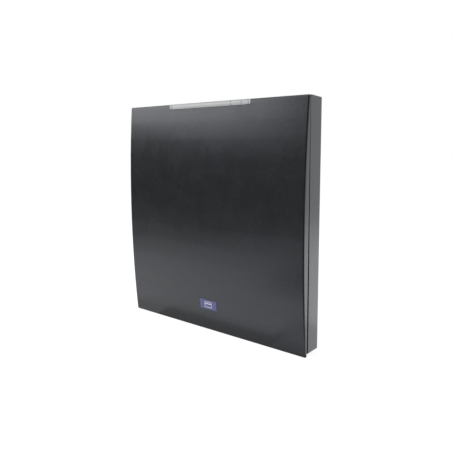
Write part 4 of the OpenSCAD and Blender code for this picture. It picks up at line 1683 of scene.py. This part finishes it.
@dataclass(frozen=True)
class Card:
    """Studio card that only gloss shows.

    Attributes:
        name: Name of the card.
        place: Its middle.
        turn: Its turn about Z from facing along Y, in degrees. None lays it flat.
        width: Its width.
        height: Its height.
        glow: Its brightness, where 1 is white.
    """

    name: str
    place: tuple[float, float, float]
    turn: float | None
    width: float
    height: float
    glow: float

    def build(self) -> None:
        """Sets up the card."""
        bpy.ops.object.select_all(action="DESELECT")
        upright = self.turn is not None
        turn = (math.radians(90), 0, math.radians(self.turn)) if upright else (0, 0, 0)
        bpy.ops.mesh.primitive_plane_add(size=1, location=self.place, rotation=turn)
        obj = bpy.context.object
        obj.name = self.name
        obj.scale = (self.width, self.height, 1)
        paint = Paint(bpy.data.materials.new(self.name))
        obj.data.materials.append(paint.closed(paint.glow("ShaderNodeEmission", self.glow)))
        obj.visible_camera = obj.visible_diffuse = False
        obj.visible_shadow = obj.visible_transmission = False


# Heights of the reader's lowest edge, of the cards laid in front of it and of the one below it
LOWEST = cad_box[0].z
LAID, UNDER = LOWEST + 2 * MM, LOWEST - 0.1 * MM
CARDS = (
    Card("dark_card", (-0.40, -0.45, 0.02), -41.7, 1.8, 0.342, 0.12),
    Card("flank_card", (-0.10, -0.72, 0.30), 10.0, 0.62, 0.90, 0.15),
    Card("brow_card", (-0.465, -0.72, 0.205), 10.0, 0.16, 0.11, 0.12),
    Card("camera_card", (0.75, -0.83, 0.25), 41.7, 1.2, 0.8, 0.05),
    Card("sill_card", (-0.629, -0.240, -0.113), -41.7, 0.5, 0.076, 0.5),
    Card("low_card", (0.453, 0.465, LAID), None, 0.594, 0.77, 2.85),
    Card("step_card", (0.453, 0.025, LAID), None, 0.594, 0.11, 2.0),
    Card("near_card", (-0.16, -0.165, LAID), None, 0.50, 0.23, 1.45),
    Card("heel_card", (-0.1375, -0.046, LAID), None, 0.065, 0.036, 1.05),
    Card("foot_card", (-0.0025, -0.046, LAID), None, 0.205, 0.036, 0.65),
    Card("toe_card", (0.130, -0.037, LAID), None, 0.06, 0.018, 0.8),
    Card("sole_card", (0.025, -0.030, UNDER), None, 0.27, 0.02, 0.6),
    Card("right_card", (0.13, -0.50, LAID), None, 0.36, 0.60, 0.25),
    Card("lens_card", (0.56, -0.46, LAID), None, 0.76, 0.86, 0.05),
)


@dataclass(frozen=True)
class Lamp:
    """Large soft lamp that faces the reader.

    Attributes:
        name: Name of the lamp.
        place: Where it hangs.
        width: Its width.
        height: Its height.
        glow: Its brightness, where 1 is white.
    """

    name: str
    place: tuple[float, float, float]
    width: float
    height: float
    glow: float

    def build(self) -> None:
        """Hangs the lamp."""
        data = bpy.data.lights.new(self.name, "AREA")
        data.shape = "RECTANGLE"
        data.size, data.size_y = self.width, self.height
        data.energy = self.glow * math.pi * self.width * self.height
        obj = bpy.data.objects.new(self.name, data)
        obj.location = self.place
        obj.rotation_euler = Vector(self.place).to_track_quat("Z", "Y").to_euler()
        bpy.context.scene.collection.objects.link(obj)


LAMPS = (
    Lamp("top_box", (-0.85, -0.95, 0.60), 1.8, 0.75, 2.8),
    Lamp("side_box", (0.70, 0.88, 0.30), 1.0, 0.9, 0.66),
)


@dataclass(frozen=True)
class Studio:
    """Camera, floor and soft light.

    Attributes:
        place: Where the camera stands.
        yaw: Turn of the view to the left, in degrees.
        pitch: Tilt of the view downwards, in degrees.
        roll: Turn of the view about its own axis, in degrees.
        focal: Focal length, in widths of the picture.
        sensor: Width of the camera's sensor, in millimetres.
        nearest: Nearest that the camera sees.
        fill: Strength of the even light from all round.
        floor_size: Side of the floor.
        floor_drop: From the reader down to the floor.
        floor_grey: Brightness of the floor's own colour.
        floor_glow: Light that the floor shows of its own.
        shadow: Share of the floor's own light and shade that shows.
    """

    place: tuple[float, float, float] = (0.4787, -0.5335, 0.0979)
    yaw: float = -41.44
    pitch: float = 8.69
    roll: float = -0.42
    focal: float = 1.1867
    sensor: float = 36.0
    nearest: float = 0.01
    fill: float = 0.45
    floor_size: float = 12
    floor_drop: float = 0.2 * MM
    floor_grey: float = 0.92
    floor_glow: float = 1.35
    shadow: float = 0.35

    def build(self) -> None:
        """Sets up the studio."""
        self.camera()
        self.world()
        self.floor()
        for light in (*CARDS, *LAMPS):
            light.build()

    def camera(self) -> None:
        """Camera at the photograph's angle."""
        yaw, pitch, roll = (math.radians(angle) for angle in (self.yaw, self.pitch, self.roll))
        right, ahead, up = Matrix.Rotation(pitch, 3, "X") @ Matrix.Rotation(yaw, 3, "Z")
        c, s = math.cos(roll), math.sin(roll)
        data = bpy.data.cameras.new("photo_camera")
        data.sensor_width = self.sensor
        data.lens = self.focal * self.sensor
        data.clip_start = self.nearest
        obj = bpy.data.objects.new("photo_camera", data)
        axes = Matrix((c * right + s * up, c * up - s * right, -ahead)).transposed()
        obj.matrix_world = Matrix.Translation(self.place) @ axes.to_4x4()
        bpy.context.scene.collection.objects.link(obj)
        bpy.context.scene.camera = obj

    def world(self) -> None:
        """Even light, with a white background for the camera, gloss and glass."""
        world = bpy.data.worlds.new("studio_world")
        bpy.context.scene.world = world
        paint = Paint(world)
        even, white = (paint.glow("ShaderNodeBackground", light) for light in (self.fill, 1.0))
        mixed = paint.blend(self.seen(paint), even, white)
        paint.node("ShaderNodeOutputWorld", inputs={"Surface": mixed})

    @staticmethod
    def seen(paint: Paint) -> Wire:
        """Tells what is seen from what only lights.

        Args:
            paint: The material or world in the making.

        Returns:
            1 for what the camera, gloss and glass see, and 0 for diffuse light.
        """
        path = paint.node("ShaderNodeLightPath").socket.node.outputs
        kinds = ("Is Camera Ray", "Is Glossy Ray", "Is Transmission Ray")
        camera, gloss, glass = (Wire(paint, path[kind]) for kind in kinds)
        return camera.either(gloss.either(glass))

    def floor(self) -> None:
        """Pale floor that keeps the shadow and is clear from below."""
        bpy.ops.object.select_all(action="DESELECT")
        bpy.ops.mesh.primitive_plane_add(size=self.floor_size, location=(0, 0, LOWEST - self.floor_drop))
        obj = bpy.context.object
        obj.name = "studio_floor"
        paint = Paint(bpy.data.materials.new("studio_floor"))
        matt = paint.node("ShaderNodeBsdfDiffuse", inputs={"Color": (self.floor_grey,) * 3})
        glow = paint.glow("ShaderNodeEmission", self.floor_glow)
        mixed = paint.blend(self.seen(paint) * (1 - self.shadow), matt, glow)
        clear = paint.node("ShaderNodeBsdfTransparent")
        behind = paint.node("ShaderNodeNewGeometry", output="Backfacing")
        obj.data.materials.append(paint.closed(paint.blend(behind, mixed, clear)))


def main() -> None:
    """Builds the studio and every piece of the reader."""
    logging.basicConfig(level=logging.INFO, format="%(message)s")
    bpy.context.scene.view_settings.view_transform = "Standard"
    Studio().build()
    for assembly in (Casing(), Fittings(), MainBoard(), Terminals(), AntennaRing(), LightBoard(),
                     Tamper()):
        assembly.build()


if __name__ == "__main__":
    main()
